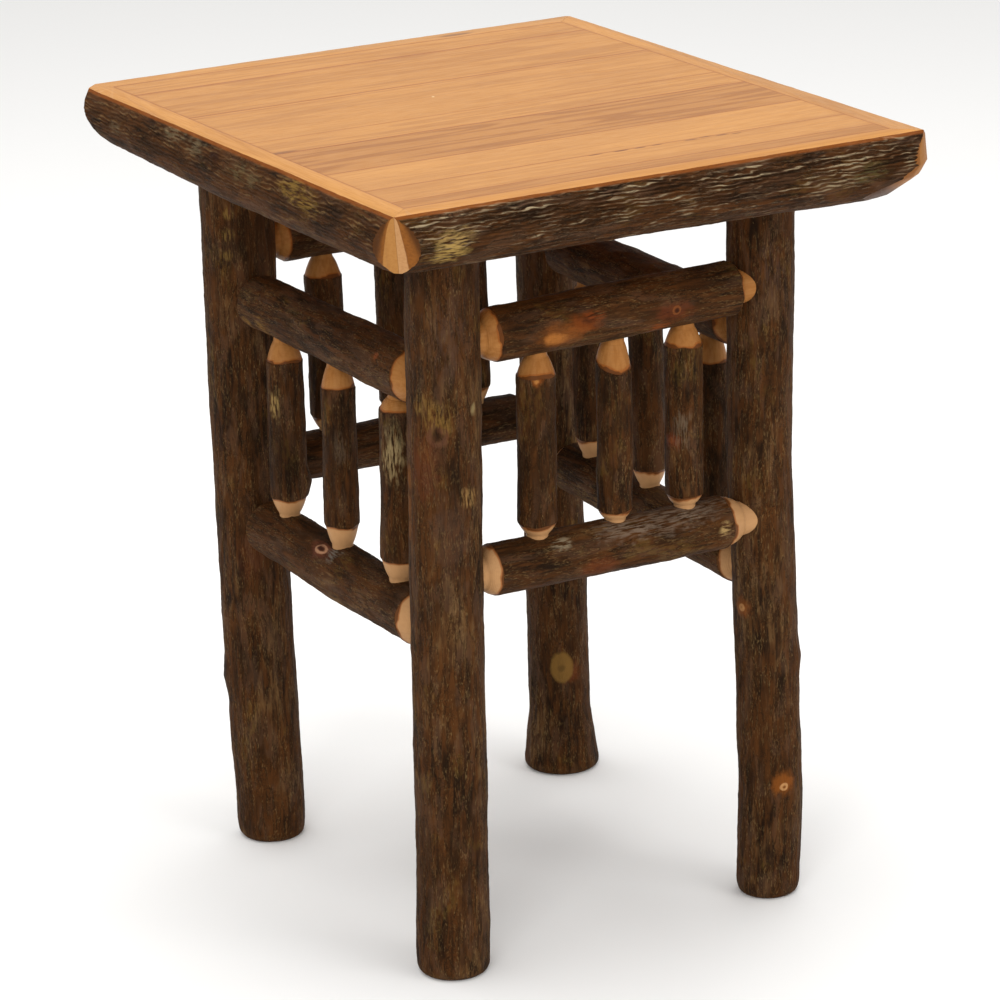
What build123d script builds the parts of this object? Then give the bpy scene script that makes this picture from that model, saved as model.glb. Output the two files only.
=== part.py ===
from build123d import *
from math import atan2, cos, degrees, pi, radians, sin, sqrt, tan
import os

# Rustic hickory side table. The origin is the middle of the floor face, +Z is up, +X runs to the right
# along the front, and the front faces -Y. All sizes are in millimetres.

# ---- Overall sizes ----
TABLE_HEIGHT = 610.0
TOP_WIDTH = 442.0  # planed upper face, left to right
TOP_DEPTH = 507.0  # planed upper face, front to back
LEG_INSET_X = 85.0  # leg centre in from the left or right edge of the upper face
LEG_INSET_Y = 94.5  # leg centre in from the front or back edge

# ---- Top ----
BORDER_WIDTH = 20.0  # planed face of an edge log that shows round the planks
EDGE_LOG_RADIUS = 27.0
EDGE_LOG_DROP = 20.0  # axis of the log below the upper face
# What is clipped off the upper face along the diagonal and the height of the cut heel, then the degrees by
# which the clipped corner leans out towards the floor and the slope of the heel.
CORNER_CUTS = {
    "front_left": (3.0, 5.5, -11.0, 9.0),
    "front_right": (3.0, 24.0, 5.0, 42.0),
    "back_left": (9.0, 18.0, 5.0, 42.0),
    "back_right": (5.0, 15.0, 5.0, 42.0),
}
CORNER_REACH = 60.0  # how far past the seam an edge log is sawn before it is clipped
PLANK_THICKNESS = 19.0
PLANK_PROPORTIONS = [18.0, 39.0, 58.0, 76.0, 41.0, 100.0, 94.0, 38.0]  # front to back
SPLINE_THICKNESS = 6.0
SPLINE_WIDTH = 14.0
SPLINE_SETBACK = 12.0  # from the end of a spline to the panel's corner
CLEAT_WIDTH = 64.0
CLEAT_THICKNESS = 19.0
CLEAT_SETBACK = 10.0  # from the end of a cleat to the edge log
SCREW_SHANK_RADIUS = 2.0
SCREW_HEAD_RADIUS = 4.0
SCREW_HEAD_HEIGHT = 2.4
SCREW_POINT = 5.0
SCREW_TIP_RADIUS = 0.4
SCREW_BITE = 12.0  # into the planks
SCREW_FROM_LEG = 46.0  # from the middle of a leg, to its front and to its back

# ---- Rails and spindles ----
FRONT_RAIL_DROP = 124.0  # centre line of the upper front and back rails below the upper face
FRONT_RAIL_BAY = 178.0  # from there down to the lower front and back rails
SIDE_RAIL_DROP = 158.0  # the left and right rails sit lower, so that tenons miss each other in the leg
SIDE_RAIL_BAY = 191.0
RAIL_TENON_RADIUS = 12.7
RAIL_TENON_LENGTH = 30.0
SPINDLE_TENON_RADIUS = 7.9
SPINDLE_TENON_LENGTH = 16.0
LEG_TENON_RADIUS = 19.0
SHOULDER_GAP = 1.2  # between the shoulder of a tenon and the skin of the log that takes it
GLUE_GAP = 0.1
FOOT_CHAMFER = 5.0

# ---- Bark ----
BARK_RIDGE = 0.6  # how far the ridges and furrows stray from the round
RIDGE_COUNT = 5  # round the log
FLATS = 2  # sides of the log where the ridges fade
RIDGE_TURN = 4.0  # radians by which they wind along it
KNUCKLE_SPACING = 75.0  # between the rings that give a log its waves
LEG_SIDES = 20
RAIL_SIDES = 16
SPINDLE_SIDES = 12
EDGE_LOG_SIDES = 24
SCREW_SIDES = 8

# ---- Shapes of the single logs ----
# A station is (share of the length, radius, stray), where stray is how far the centre of the log lies
# off its straight line there. Legs stray in X and Y, rails and spindles sideways and upwards.
LEG_STATIONS = {
    "front_left": [
        (0.0, 27.8, (-3.3, 1.5)),
        (0.25, 27.3, (-1.9, 0.7)),
        (0.53, 27.0, (-0.6, 0.1)),
        (1.0, 27.2, (3.1, -1.9)),
    ],
    "front_right": [
        (0.0, 24.8, (2.7, -1.6)),
        (0.15, 24.8, (5.0, -3.0)),
        (0.36, 24.6, (2.9, -1.8)),
        (0.62, 24.8, (-0.9, 0.3)),
        (1.0, 26.0, (1.5, -1.0)),
    ],
    "back_left": [
        (0.0, 27.3, (5.0, -2.9)),
        (0.25, 28.4, (1.6, -0.9)),
        (0.53, 28.2, (-0.2, 0.2)),
        (1.0, 29.0, (-0.4, 0.3)),
    ],
    "back_right": [
        (0.0, 32.2, (5.2, -2.9)),
        (0.09, 26.0, (4.6, -2.4)),
        (0.53, 24.8, (3.0, -1.5)),
        (1.0, 24.6, (1.1, -0.5)),
    ],
}
# Radius at the start, middle and end of each rail, its bow at the middle (sideways, upwards), how far
# each end goes into its leg off the leg's centre and its level (sideways, upwards), and the length of the
# bare point outside the leg at each end.
RAIL_SHAPES = {
    "front_upper": ((20.0, 21.0, 20.8), (-1.0, 0.8), ((0.0, -1.0), (-7.0, 4.5)), (11.6, 5.5)),
    "front_lower": ((19.8, 20.4, 20.2), (0.8, -0.6), ((0.0, 0.0), (-7.0, 2.0)), (10.6, 14.5)),
    "back_upper": ((20.0, 20.5, 20.0), (0.6, 0.5), ((0.0, 5.0), (0.0, 5.0)), (9.0, 10.0)),
    "back_lower": ((19.0, 19.4, 19.2), (-0.5, 0.7), ((0.0, 1.5), (0.0, 1.5)), (11.0, 10.0)),
    "left_upper": ((21.6, 21.2, 21.4), (0.7, 1.0), ((0.0, 0.0), (0.0, 0.0)), (14.5, 7.0)),
    "left_lower": ((21.8, 22.2, 21.6), (-0.8, -0.8), ((0.0, 5.0), (0.0, 8.0)), (14.2, 4.5)),
    "right_upper": ((20.6, 21.2, 21.0), (0.8, 0.6), ((0.0, 0.0), (0.0, 0.0)), (9.0, 10.0)),
    "right_lower": ((21.0, 20.4, 21.2), (-0.7, -0.5), ((0.0, 2.0), (0.0, 9.0)), (9.0, 9.0)),
}
# Each spindle's foot and head: place as a share of the distance between the legs, radius, and length of
# the bare point outside the rail.
SPINDLE_SHAPES = {
    "front": [
        ((0.279, 15.2, 10.0), (0.279, 14.9, 16.0)),
        ((0.520, 13.9, 8.0), (0.516, 13.4, 13.0)),
        ((0.739, 14.2, 8.5), (0.736, 14.9, 15.0)),
    ],
    "back": [
        ((0.263, 14.8, 12.0), (0.263, 15.4, 16.0)),
        ((0.485, 14.2, 13.0), (0.485, 13.8, 13.0)),
        ((0.740, 13.9, 13.0), (0.740, 14.3, 13.0)),
    ],
    "left": [
        ((0.228, 14.6, 16.5), (0.205, 14.9, 10.0)),
        ((0.514, 13.7, 17.0), (0.502, 13.6, 17.0)),
        ((0.788, 14.9, 15.0), (0.775, 14.3, 16.5)),
    ],
    "right": [
        ((0.220, 13.8, 13.0), (0.220, 14.4, 20.0)),
        ((0.519, 14.3, 14.0), (0.519, 14.0, 14.0)),
        ((0.796, 13.6, 14.0), (0.796, 13.9, 14.0)),
    ],
}
# Edge logs, as seen from outside the table with the top up, from right to left. They stray outwards
# and upwards.
EDGE_LOG_STATIONS = {
    "front": [(0.0, 28.4, (0, -2.0)), (0.25, 28.2, (0, -1.8)), (0.5, 27.0, (0, 0.0)), (1.0, 26.6, (0, 0.4))],
    "back": [(0.0, 26.0, (0, 1.0)), (0.4, 27.0, (0, 0.0)), (0.7, 26.4, (0, 0.6)), (1.0, 25.4, (0, 1.8))],
    "left": [(0.0, 26.8, (0, 0.2)), (0.5, 27.2, (0, -0.2)), (0.75, 26.0, (0, 1.2)), (1.0, 24.4, (0, 3.2))],
    "right": [(0.0, 25.8, (0, 1.4)), (0.35, 27.0, (0, 0.0)), (0.6, 26.2, (0, 1.0)), (1.0, 27.8, (0, -1.0))],
}
SLANTED_SPINDLE = ("front", 2)  # its bark is cut off on a slant at the head
SLANT_ANGLE = 24.0
SLANT_HEADING = 95.0  # degrees from +X towards which the bark reaches highest

# ---- Derived places ----
LEG_X = TOP_WIDTH / 2 - LEG_INSET_X
LEG_Y = TOP_DEPTH / 2 - LEG_INSET_Y
SEAM_X = TOP_WIDTH / 2 - BORDER_WIDTH
SEAM_Y = TOP_DEPTH / 2 - BORDER_WIDTH
PLANK_UNDERSIDE = TABLE_HEIGHT - PLANK_THICKNESS
LEG_TOP = PLANK_UNDERSIDE - CLEAT_THICKNESS
SPLINE_HEIGHT = TABLE_HEIGHT - PLANK_THICKNESS / 2
EDGE_AXIS_INSET = sqrt(EDGE_LOG_RADIUS**2 - EDGE_LOG_DROP**2)  # from the edge of the upper face

SIDES = {
    "front": ("front_left", "front_right"),
    "back": ("back_left", "back_right"),
    "left": ("front_left", "back_left"),
    "right": ("front_right", "back_right"),
}
FROM_BOTTOM = (Align.CENTER, Align.CENTER, Align.MIN)


def skin(rings):
    """A closed solid over rings of corners, with a flat face on each end."""
    faces = [Face(Wire.make_polygon(rings[0])), Face(Wire.make_polygon(rings[-1]))]
    for lower, upper in zip(rings, rings[1:]):
        for here, corner in enumerate(lower):
            after = (here + 1) % len(lower)
            faces.append(Face(Wire.make_polygon([corner, lower[after], upper[after]])))
            faces.append(Face(Wire.make_polygon([corner, upper[after], upper[here]])))
    return Solid(Shell(faces))


class Log:
    """A natural log between two points: ridged rings on straggling centres, joined one to the next."""

    def __init__(self, start, end, stations, sideways, sides):
        self.start = start
        self.length = (end - start).length
        self.along = (end - start).normalized()
        self.sideways = (sideways - self.along * sideways.dot(self.along)).normalized()
        self.upwards = self.along.cross(self.sideways)
        self.stations = stations
        self.sides = sides

    def ring(self, share):
        """Centre and radius of the log at a share of its length."""
        for before, after in zip(self.stations, self.stations[1:]):
            if share <= after[0]:
                break
        part = (share - before[0]) / (after[0] - before[0])
        radius = before[1] + (after[1] - before[1]) * part
        across = before[2][0] + (after[2][0] - before[2][0]) * part
        up = before[2][1] + (after[2][1] - before[2][1]) * part
        centre = self.start + self.along * (self.length * share)
        return centre + self.sideways * across + self.upwards * up, radius

    def section(self, share, radius=None, beyond=0.0, ridge=0.0, slant=(0.0, 0.0)):
        """A ring of corners round the log. It may have its own radius, lie beyond its share or lean over."""
        centre, bark_radius = self.ring(share)
        radius = bark_radius if radius is None else radius
        corners = []
        for number in range(self.sides):
            angle = 2 * pi * number / self.sides
            winding = RIDGE_COUNT * angle + RIDGE_TURN * share
            swell = ridge * sin(winding) * cos(FLATS * angle + self.length)
            across = (radius + swell) * cos(angle)
            up = (radius + swell) * sin(angle)
            lift = beyond + across * slant[0] + up * slant[1]
            corners.append(centre + self.sideways * across + self.upwards * up + self.along * lift)
        return corners

    def bark(self, first=0.0, last=1.0):
        """The rings of the bark-on length between two shares."""
        spans = max(1, round((last - first) * self.length / KNUCKLE_SPACING))
        shares = [first + (last - first) * number / spans for number in range(spans + 1)]
        return [self.section(share, ridge=BARK_RIDGE) for share in shares]


class Stick(Log):
    """A log with a pencil point and a tenon at both ends, held between two round members."""

    def __init__(self, start, end, skins, points, stations, sideways, tenon):
        self.tenon_radius, self.tenon_length, sides = tenon
        super().__init__(start, end, stations, sideways, sides)
        self.points = points
        bark_from_ends = [(skin + point) / self.length for skin, point in zip(skins, points)]
        self.shares = (bark_from_ends[0], 1.0 - bark_from_ends[1])

    def point(self, at_end):
        """The two rings of a tenon beyond the rim of the bark, at its shoulder and at its end."""
        ends = self.tenon_ends(at_end, self.tenon_length)
        return [self.section(self.shares[at_end], self.tenon_radius, end) for end in ends]

    def tenon_ends(self, at_end, length):
        """How far beyond the rim of the bark a tenon of a length starts and ends."""
        way = 1 if at_end else -1
        shoulder = self.points[at_end] - SHOULDER_GAP
        return way * shoulder, way * (shoulder + length)

    def solid(self):
        return skin(self.point(0)[::-1] + self.bark(*self.shares) + self.point(1))

    def bore(self, at_end):
        """The blind hole that takes one tenon."""
        ends = self.tenon_ends(at_end, self.tenon_length + GLUE_GAP)
        radius = self.tenon_radius + GLUE_GAP
        return skin([self.section(self.shares[at_end], radius, end) for end in ends])


class SlantedStick(Stick):
    """A stick whose bark ends on a slant at the head, so that bare wood shows on one side."""

    def solid(self):
        head = self.shares[1]
        radius = self.ring(head)[1]
        steepness = tan(radians(SLANT_ANGLE))
        slant = (steepness * cos(radians(SLANT_HEADING)), steepness * sin(radians(SLANT_HEADING)))
        middle = head - radius * steepness / self.length
        rim = self.section(middle, ridge=BARK_RIDGE, slant=slant)
        bark = [self.section(self.shares[0], ridge=BARK_RIDGE), rim]
        return skin(self.point(0)[::-1] + bark + self.point(1))


def make_legs():
    legs = {}
    for name, stations in LEG_STATIONS.items():
        x = LEG_X if name.endswith("right") else -LEG_X
        y = LEG_Y if name.startswith("back") else -LEG_Y
        legs[name] = Log(Vector(x, y, 0), Vector(x, y, LEG_TOP), stations, Vector(1, 0, 0), LEG_SIDES)
    return legs


def make_rails(legs):
    """All eight rails as sticks, by side and level."""
    rails = {}
    tenon = (RAIL_TENON_RADIUS, RAIL_TENON_LENGTH, RAIL_SIDES)
    for side, (near, far) in SIDES.items():
        on_front = side in ("front", "back")
        across = Vector(0, 1, 0) if on_front else Vector(-1, 0, 0)
        upper = TABLE_HEIGHT - (FRONT_RAIL_DROP if on_front else SIDE_RAIL_DROP)
        bay = FRONT_RAIL_BAY if on_front else SIDE_RAIL_BAY
        for level, height in (("upper", upper), ("lower", upper - bay)):
            radii, bow, entries, points = RAIL_SHAPES[f"{side}_{level}"]
            ends, skins = [], []
            for leg, (off_centre, rise) in zip((near, far), entries):
                centre, radius = legs[leg].ring((height + rise) / LEG_TOP)
                ends.append(centre + across * off_centre)
                skins.append(radius)
            stations = [(0.0, radii[0], (0, 0)), (0.5, radii[1], bow), (1.0, radii[2], (0, 0))]
            sideways = Vector(0, 0, 1).cross(ends[1] - ends[0])
            rails[side, level] = Stick(*ends, skins, points, stations, sideways, tenon)
    return rails


def make_spindles(rails):
    """Three upright sticks on each side, from the lower rail to the upper one."""
    spindles = {}
    tenon = (SPINDLE_TENON_RADIUS, SPINDLE_TENON_LENGTH, SPINDLE_SIDES)
    for side, shapes in SPINDLE_SHAPES.items():
        for number, (foot, head) in enumerate(shapes, start=1):
            start, start_skin = rails[side, "lower"].ring(foot[0])
            end, end_skin = rails[side, "upper"].ring(head[0])
            skins = (start_skin, end_skin)
            points = (foot[2], head[2])
            stations = [(0.0, foot[1], (0, 0)), (1.0, head[1], (0, 0))]
            kind = SlantedStick if (side, number) == SLANTED_SPINDLE else Stick
            spindles[side, number] = kind(start, end, skins, points, stations, Vector(1, 0, 0), tenon)
    return spindles


def leg_solid(log, bores):
    """A leg with a chamfered foot, a tenon on top and the blind bores for its rails."""
    rings = log.bark()
    foot_radius = log.ring(0.0)[1]
    foot = log.section(0.0, foot_radius - FOOT_CHAMFER)
    rim = log.section(0.0, foot_radius, FOOT_CHAMFER, ridge=BARK_RIDGE)
    body = skin([foot, rim] + rings[1:])
    return body + leg_tenon(log, 0.0) - bores


def leg_tenon(log, gap):
    """The tenon on top of a leg, or with a gap the hole for it, which goes right through the cleat."""
    ends = (0.0, CLEAT_THICKNESS if gap else CLEAT_THICKNESS - GLUE_GAP)
    return skin([log.section(1.0, LEG_TENON_RADIUS + gap, lift) for lift in ends])


def edge_log(side):
    """A half log along one side: planed on top, sawn flat inside, mitred, with clipped corners."""
    along_x = side in ("front", "back")
    sign = 1 if side in ("back", "right") else -1
    axis = (TOP_DEPTH if along_x else TOP_WIDTH) / 2 - EDGE_AXIS_INSET
    reach = (SEAM_X if along_x else SEAM_Y) + CORNER_REACH
    seam_end = (SEAM_X if along_x else SEAM_Y) - GLUE_GAP
    seam = (SEAM_Y if along_x else SEAM_X) + GLUE_GAP
    height = TABLE_HEIGHT - EDGE_LOG_DROP
    # Modelled along X at the back, then turned to its side.
    start, end = Vector(-reach, axis, height), Vector(reach, axis, height)
    log = Log(start, end, EDGE_LOG_STATIONS[side], Vector(0, 1, 0), EDGE_LOG_SIDES)
    outline = Polyline(
        (-seam_end, seam),
        (seam_end, seam),
        (seam_end + CORNER_REACH, seam + CORNER_REACH),
        (-seam_end - CORNER_REACH, seam + CORNER_REACH),
        close=True,
    )
    keep = extrude(Pos(0, 0, TABLE_HEIGHT) * make_face(outline), -3 * EDGE_LOG_RADIUS)
    half_log = skin(log.bark()) & keep
    turn = {"back": 0, "left": 90, "front": 180, "right": 270}[side]
    placed = Rot(0, 0, turn) * half_log
    ends = ((1, sign), (-1, sign)) if along_x else ((sign, 1), (sign, -1))
    for corner_x, corner_y in ends:
        for cut in corner_planes(corner_x, corner_y):
            placed = split(placed, bisect_by=cut, keep=Keep.BOTTOM)
    return placed - spline_groove(side)


def corner_planes(corner_x, corner_y):
    """The two cuts that clip a corner of the top and round its heel, facing outwards along the diagonal."""
    name = ("front", "back")[corner_y > 0] + ("_left", "_right")[corner_x > 0]
    clipped, heel_height, flare, heel_slope = CORNER_CUTS[name]
    inset = clipped / sqrt(2)
    top = Vector(corner_x * (TOP_WIDTH / 2 - inset), corner_y * (TOP_DEPTH / 2 - inset), TABLE_HEIGHT)
    outward = Rot(0, 0, degrees(atan2(corner_y, corner_x)))
    clip = Pos(*top) * outward * Rot(0, 90 - flare, 0)
    depth = EDGE_LOG_DROP + EDGE_LOG_RADIUS - heel_height
    heel = clip * Pos(depth / cos(radians(flare)), 0, 0) * Rot(0, flare + 90 - heel_slope, 0)
    return clip * Plane.XY, heel * Plane.XY


def spline_box(side, gap):
    """The loose spline that joins an edge log to the planks, grown by a gap."""
    along_x = side in ("front", "back")
    sign = 1 if side in ("back", "right") else -1
    length = 2 * ((SEAM_X if along_x else SEAM_Y) - SPLINE_SETBACK + gap)
    width = SPLINE_WIDTH + 2 * gap
    box = Box(length, width, SPLINE_THICKNESS + 2 * gap) if along_x else Box(
        width, length, SPLINE_THICKNESS + 2 * gap
    )
    place = (0, sign * SEAM_Y) if along_x else (sign * SEAM_X, 0)
    return Pos(*place, SPLINE_HEIGHT) * box


def spline_groove(side):
    return spline_box(side, GLUE_GAP)


def screw_places(legs):
    """One screw in front of and one behind each leg, through the cleat that the leg carries."""
    places = []
    for leg in legs.values():
        centre = leg.ring(1.0)[0]
        for step in (-SCREW_FROM_LEG, SCREW_FROM_LEG):
            places.append(Location((centre.X, centre.Y + step, LEG_TOP)))
    return places


def screw(gap=0.0):
    """A flat-headed wood screw that points up from the cleat's lower face, grown by a gap."""
    end = CLEAT_THICKNESS + SCREW_BITE
    outline = [
        (0, SCREW_HEAD_RADIUS),
        (SCREW_HEAD_HEIGHT, SCREW_SHANK_RADIUS),
        (end - SCREW_POINT, SCREW_SHANK_RADIUS),
        (end, SCREW_TIP_RADIUS),
    ]
    stations = [(0.0, SCREW_SHANK_RADIUS, (0, 0)), (1.0, SCREW_SHANK_RADIUS, (0, 0))]
    shank = Log(Vector(0, 0, 0), Vector(0, 0, end), stations, Vector(1, 0, 0), SCREW_SIDES)
    rings = [shank.section(0.0, radius + gap, height + gap * (height > 0)) for height, radius in outline]
    return skin(rings)


def planks(screw_bores):
    """The random-width boards of the panel, front to back, with grooves round the panel's edge."""
    total = sum(PLANK_PROPORTIONS)
    front = -SEAM_Y
    boards = []
    cutters = [spline_groove(side) for side in SIDES] + screw_bores
    for proportion in PLANK_PROPORTIONS:
        width = 2 * SEAM_Y * proportion / total
        board = Box(2 * SEAM_X, width - GLUE_GAP, PLANK_THICKNESS)
        boards.append(Pos(0, front + width / 2, SPLINE_HEIGHT) * board - cutters)
        front += width
    return boards


def cleat(side, legs, screw_bores):
    """A batten under the planks, with a hole for the tenon of each leg below it."""
    x = LEG_X if side == "right" else -LEG_X
    board = Box(CLEAT_WIDTH, 2 * (SEAM_Y - CLEAT_SETBACK), CLEAT_THICKNESS, align=FROM_BOTTOM)
    holes = [leg_tenon(leg, GLUE_GAP) for name, leg in legs.items() if name.endswith(side)]
    return Pos(x, 0, LEG_TOP) * board - holes - screw_bores


def build():
    """Every node of the table, by name."""
    legs = make_legs()
    rails = make_rails(legs)
    spindles = make_spindles(rails)
    nodes = {}
    for name, log in legs.items():
        bores = []
        for (side, level), rail in rails.items():
            if name in SIDES[side]:
                bores.append(rail.bore(SIDES[side].index(name)))
        nodes[f"leg_{name}"] = leg_solid(log, bores)
    for (side, level), rail in rails.items():
        end = 0 if level == "lower" else 1
        bores = [stick.bore(end) for key, stick in spindles.items() if key[0] == side]
        nodes[f"{side}_{level}_rail"] = rail.solid() - bores
    for (side, number), spindle in spindles.items():
        nodes[f"{side}_spindle_{number}"] = spindle.solid()
    for side in SIDES:
        nodes[f"{side}_edge_log"] = edge_log(side)
        nodes[f"{side}_spline"] = spline_box(side, 0)
    places = screw_places(legs)
    screw_bores = [place * screw(GLUE_GAP) for place in places]
    for number, board in enumerate(planks(screw_bores), start=1):
        nodes[f"top_plank_{number}"] = board
    for side in ("left", "right"):
        nodes[f"{side}_cleat"] = cleat(side, legs, screw_bores)
    nodes["cleat_screws"] = Compound(children=[place * screw() for place in places])
    return nodes


os.makedirs("parts", exist_ok=True)
for node, shape in build().items():
    export_step(shape, f"parts/{node}.step")
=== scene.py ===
import math

import bpy
from mathutils import Matrix, Vector


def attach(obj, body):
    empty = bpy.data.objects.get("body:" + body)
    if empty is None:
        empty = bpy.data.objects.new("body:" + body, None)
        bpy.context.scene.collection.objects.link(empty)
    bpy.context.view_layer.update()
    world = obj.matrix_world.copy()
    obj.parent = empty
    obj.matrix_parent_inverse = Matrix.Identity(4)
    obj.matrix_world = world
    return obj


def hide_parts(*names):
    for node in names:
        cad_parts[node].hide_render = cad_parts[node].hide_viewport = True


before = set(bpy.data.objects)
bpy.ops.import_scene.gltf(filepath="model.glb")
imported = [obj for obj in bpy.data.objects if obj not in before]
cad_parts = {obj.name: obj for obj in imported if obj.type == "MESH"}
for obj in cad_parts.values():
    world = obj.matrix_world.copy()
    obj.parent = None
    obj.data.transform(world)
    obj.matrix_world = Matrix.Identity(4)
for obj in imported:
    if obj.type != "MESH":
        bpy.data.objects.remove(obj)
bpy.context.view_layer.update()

bl_info = {
    "name": "Rustic Hickory Table",
    "version": (1, 0, 0),
    "blender": (4, 5, 0),
    "location": "View3D > Sidebar > Table",
    "description": "Bark-on hickory logs, a planked top and a small studio round them",
    "category": "Object",
}

MM = 0.001

# ---- Sizes of the logs, in millimetres, as the table is built ----
TABLE_HEIGHT = 610.0
TOP_WIDTH, TOP_DEPTH = 442.0, 507.0
LEG_X, LEG_Y = 136.0, 159.0
LEG_TOP = 572.0
CLEAT_THICKNESS = 19.0
LEG_TENON_RADIUS = 19.0
SEAM_X, SEAM_Y = 201.0, 233.5
EDGE_AXIS_INSET = 18.14  # from the edge of the planed face to the axis of its log
EDGE_LOG_DROP = 20.0
EDGE_LOG_RADIUS = 27.0
CORNER_REACH = 60.0
# Each corner of the top: what is clipped off along the diagonal, the headings of its facets in degrees, and
# its outline from the planed face down, as (outwards along the diagonal, depth)
CORNERS = {
    (-1, -1): (3.0, (0,), [(0.0, 0.0), (-8.07, 41.5), (-42.8, 47.0)]),
    (1, -1): (3.0, (0, 15, 30), [(0.0, 0.0), (2.0, 23.0), (-2.7, 31.8), (-8.8, 36.6), (-22.0, 46.1)]),
    (-1, 1): (9.0, (0, 15, 30), [(-1.6, 0.0), (1.4, 7.0), (2.3, 13.5), (0.9, 19.5), (-3.9, 28.3)]
              + [(-8.2, 33.3), (-14.6, 37.5), (-23.1, 41.6)]),
    (1, 1): (5.0, (0, 15, 30), [(0.0, 0.0), (2.4, 16.0), (1.0, 26.0), (-4.0, 33.0), (-12.0, 40.0)]),
}
BARK_THICKNESS, BARK_BEVEL, SHOULDER_GAP = 0.9, 0.3, 1.2
BARK_LIP = 2.2  # where the bark of a stick starts to round off towards its cut edge
# Radius and length of each tenon, and how far the point before it is a dome instead of a cone
RAIL_TENON, SPINDLE_TENON = (12.7, 30.0, 0.55), (7.9, 16.0, 0.35)
# Corners round each kind of log, and the distance between its rings, before smoothing
LEG_SPACING, RAIL_SPACING, SPINDLE_SPACING, EDGE_LOG_SPACING = (36, 4.9), (24, 5.4), (18, 5.4), (56, 3.6)
RIM_REACH, SLANT_REACH = 9.0, 14.0  # how far from its end the edge of the bark wanders and slants
RIM_GRAIN = 11.0  # from one bay of that edge to the next
SEAM_GAP, MITRE_GAP, TOP_GAP = 0.1, 0.05, 0.002  # what a half log is cut short of its neighbours' faces
PLANK_PROPORTIONS = [18.0, 39.0, 58.0, 76.0, 41.0, 100.0, 94.0, 38.0]
ALONG_X = ("front", "back")  # the sides whose sticks run left to right
RAIL_LEVELS = {  # height of the centre line of the upper and the lower rail
    "front": (486.0, 308.0),
    "back": (486.0, 308.0),
    "left": (452.0, 261.0),
    "right": (452.0, 261.0),
}
SIDES = {
    "front": ("front_left", "front_right"),
    "back": ("back_left", "back_right"),
    "left": ("front_left", "back_left"),
    "right": ("front_right", "back_right"),
}
# Stations of each log: (share of the length, radius, stray of the centre sideways and up)
LEG_STATIONS = {
    "front_left": [
        (0.0, 27.8, (-3.3, 1.5)),
        (0.25, 27.3, (-1.9, 0.7)),
        (0.53, 27.0, (-0.6, 0.1)),
        (1.0, 27.2, (3.1, -1.9)),
    ],
    "front_right": [
        (0.0, 24.8, (2.7, -1.6)),
        (0.15, 24.8, (5.0, -3.0)),
        (0.36, 24.6, (2.9, -1.8)),
        (0.62, 24.8, (-0.9, 0.3)),
        (1.0, 26.0, (1.5, -1.0)),
    ],
    "back_left": [
        (0.0, 27.3, (5.0, -2.9)),
        (0.25, 28.4, (1.6, -0.9)),
        (0.53, 28.2, (-0.2, 0.2)),
        (1.0, 29.0, (-0.4, 0.3)),
    ],
    "back_right": [
        (0.0, 32.2, (5.2, -2.9)),
        (0.09, 26.0, (4.6, -2.4)),
        (0.53, 24.8, (3.0, -1.5)),
        (1.0, 24.6, (1.1, -0.5)),
    ],
}
# Radii, bow, where each end meets its leg (sideways, up), and the length of the bare point at each end
RAIL_SHAPES = {
    "front_upper": ((20.0, 21.0, 20.8), (-1.0, 0.8), ((0.0, -1.0), (-7.0, 4.5)), (11.6, 5.5)),
    "front_lower": ((19.8, 20.4, 20.2), (0.8, -0.6), ((0.0, 0.0), (-7.0, 2.0)), (10.6, 14.5)),
    "back_upper": ((20.0, 20.5, 20.0), (0.6, 0.5), ((0.0, 5.0), (0.0, 5.0)), (9.0, 10.0)),
    "back_lower": ((19.0, 19.4, 19.2), (-0.5, 0.7), ((0.0, 1.5), (0.0, 1.5)), (11.0, 10.0)),
    "left_upper": ((21.6, 21.2, 21.4), (0.7, 1.0), ((0.0, 0.0), (0.0, 0.0)), (14.5, 7.0)),
    "left_lower": ((21.8, 22.2, 21.6), (-0.8, -0.8), ((0.0, 5.0), (0.0, 8.0)), (14.2, 4.5)),
    "right_upper": ((20.6, 21.2, 21.0), (0.8, 0.6), ((0.0, 0.0), (0.0, 0.0)), (9.0, 10.0)),
    "right_lower": ((21.0, 20.4, 21.2), (-0.7, -0.5), ((0.0, 2.0), (0.0, 9.0)), (9.0, 9.0)),
}
# Foot and head of each spindle: share of the way between the legs, radius, length of the bare point
SPINDLE_SHAPES = {
    "front": [
        ((0.279, 15.2, 10.0), (0.279, 14.9, 16.0)),
        ((0.520, 13.9, 8.0), (0.516, 13.4, 13.0)),
        ((0.739, 14.2, 8.5), (0.736, 14.9, 15.0)),
    ],
    "back": [
        ((0.263, 14.8, 12.0), (0.263, 15.4, 16.0)),
        ((0.485, 14.2, 13.0), (0.485, 13.8, 13.0)),
        ((0.740, 13.9, 13.0), (0.740, 14.3, 13.0)),
    ],
    "left": [
        ((0.228, 14.6, 16.5), (0.205, 14.9, 10.0)),
        ((0.514, 13.7, 17.0), (0.502, 13.6, 17.0)),
        ((0.788, 14.9, 15.0), (0.775, 14.3, 16.5)),
    ],
    "right": [
        ((0.220, 13.8, 13.0), (0.220, 14.4, 20.0)),
        ((0.519, 14.3, 14.0), (0.519, 14.0, 14.0)),
        ((0.796, 13.6, 14.0), (0.796, 13.9, 14.0)),
    ],
}
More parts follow.
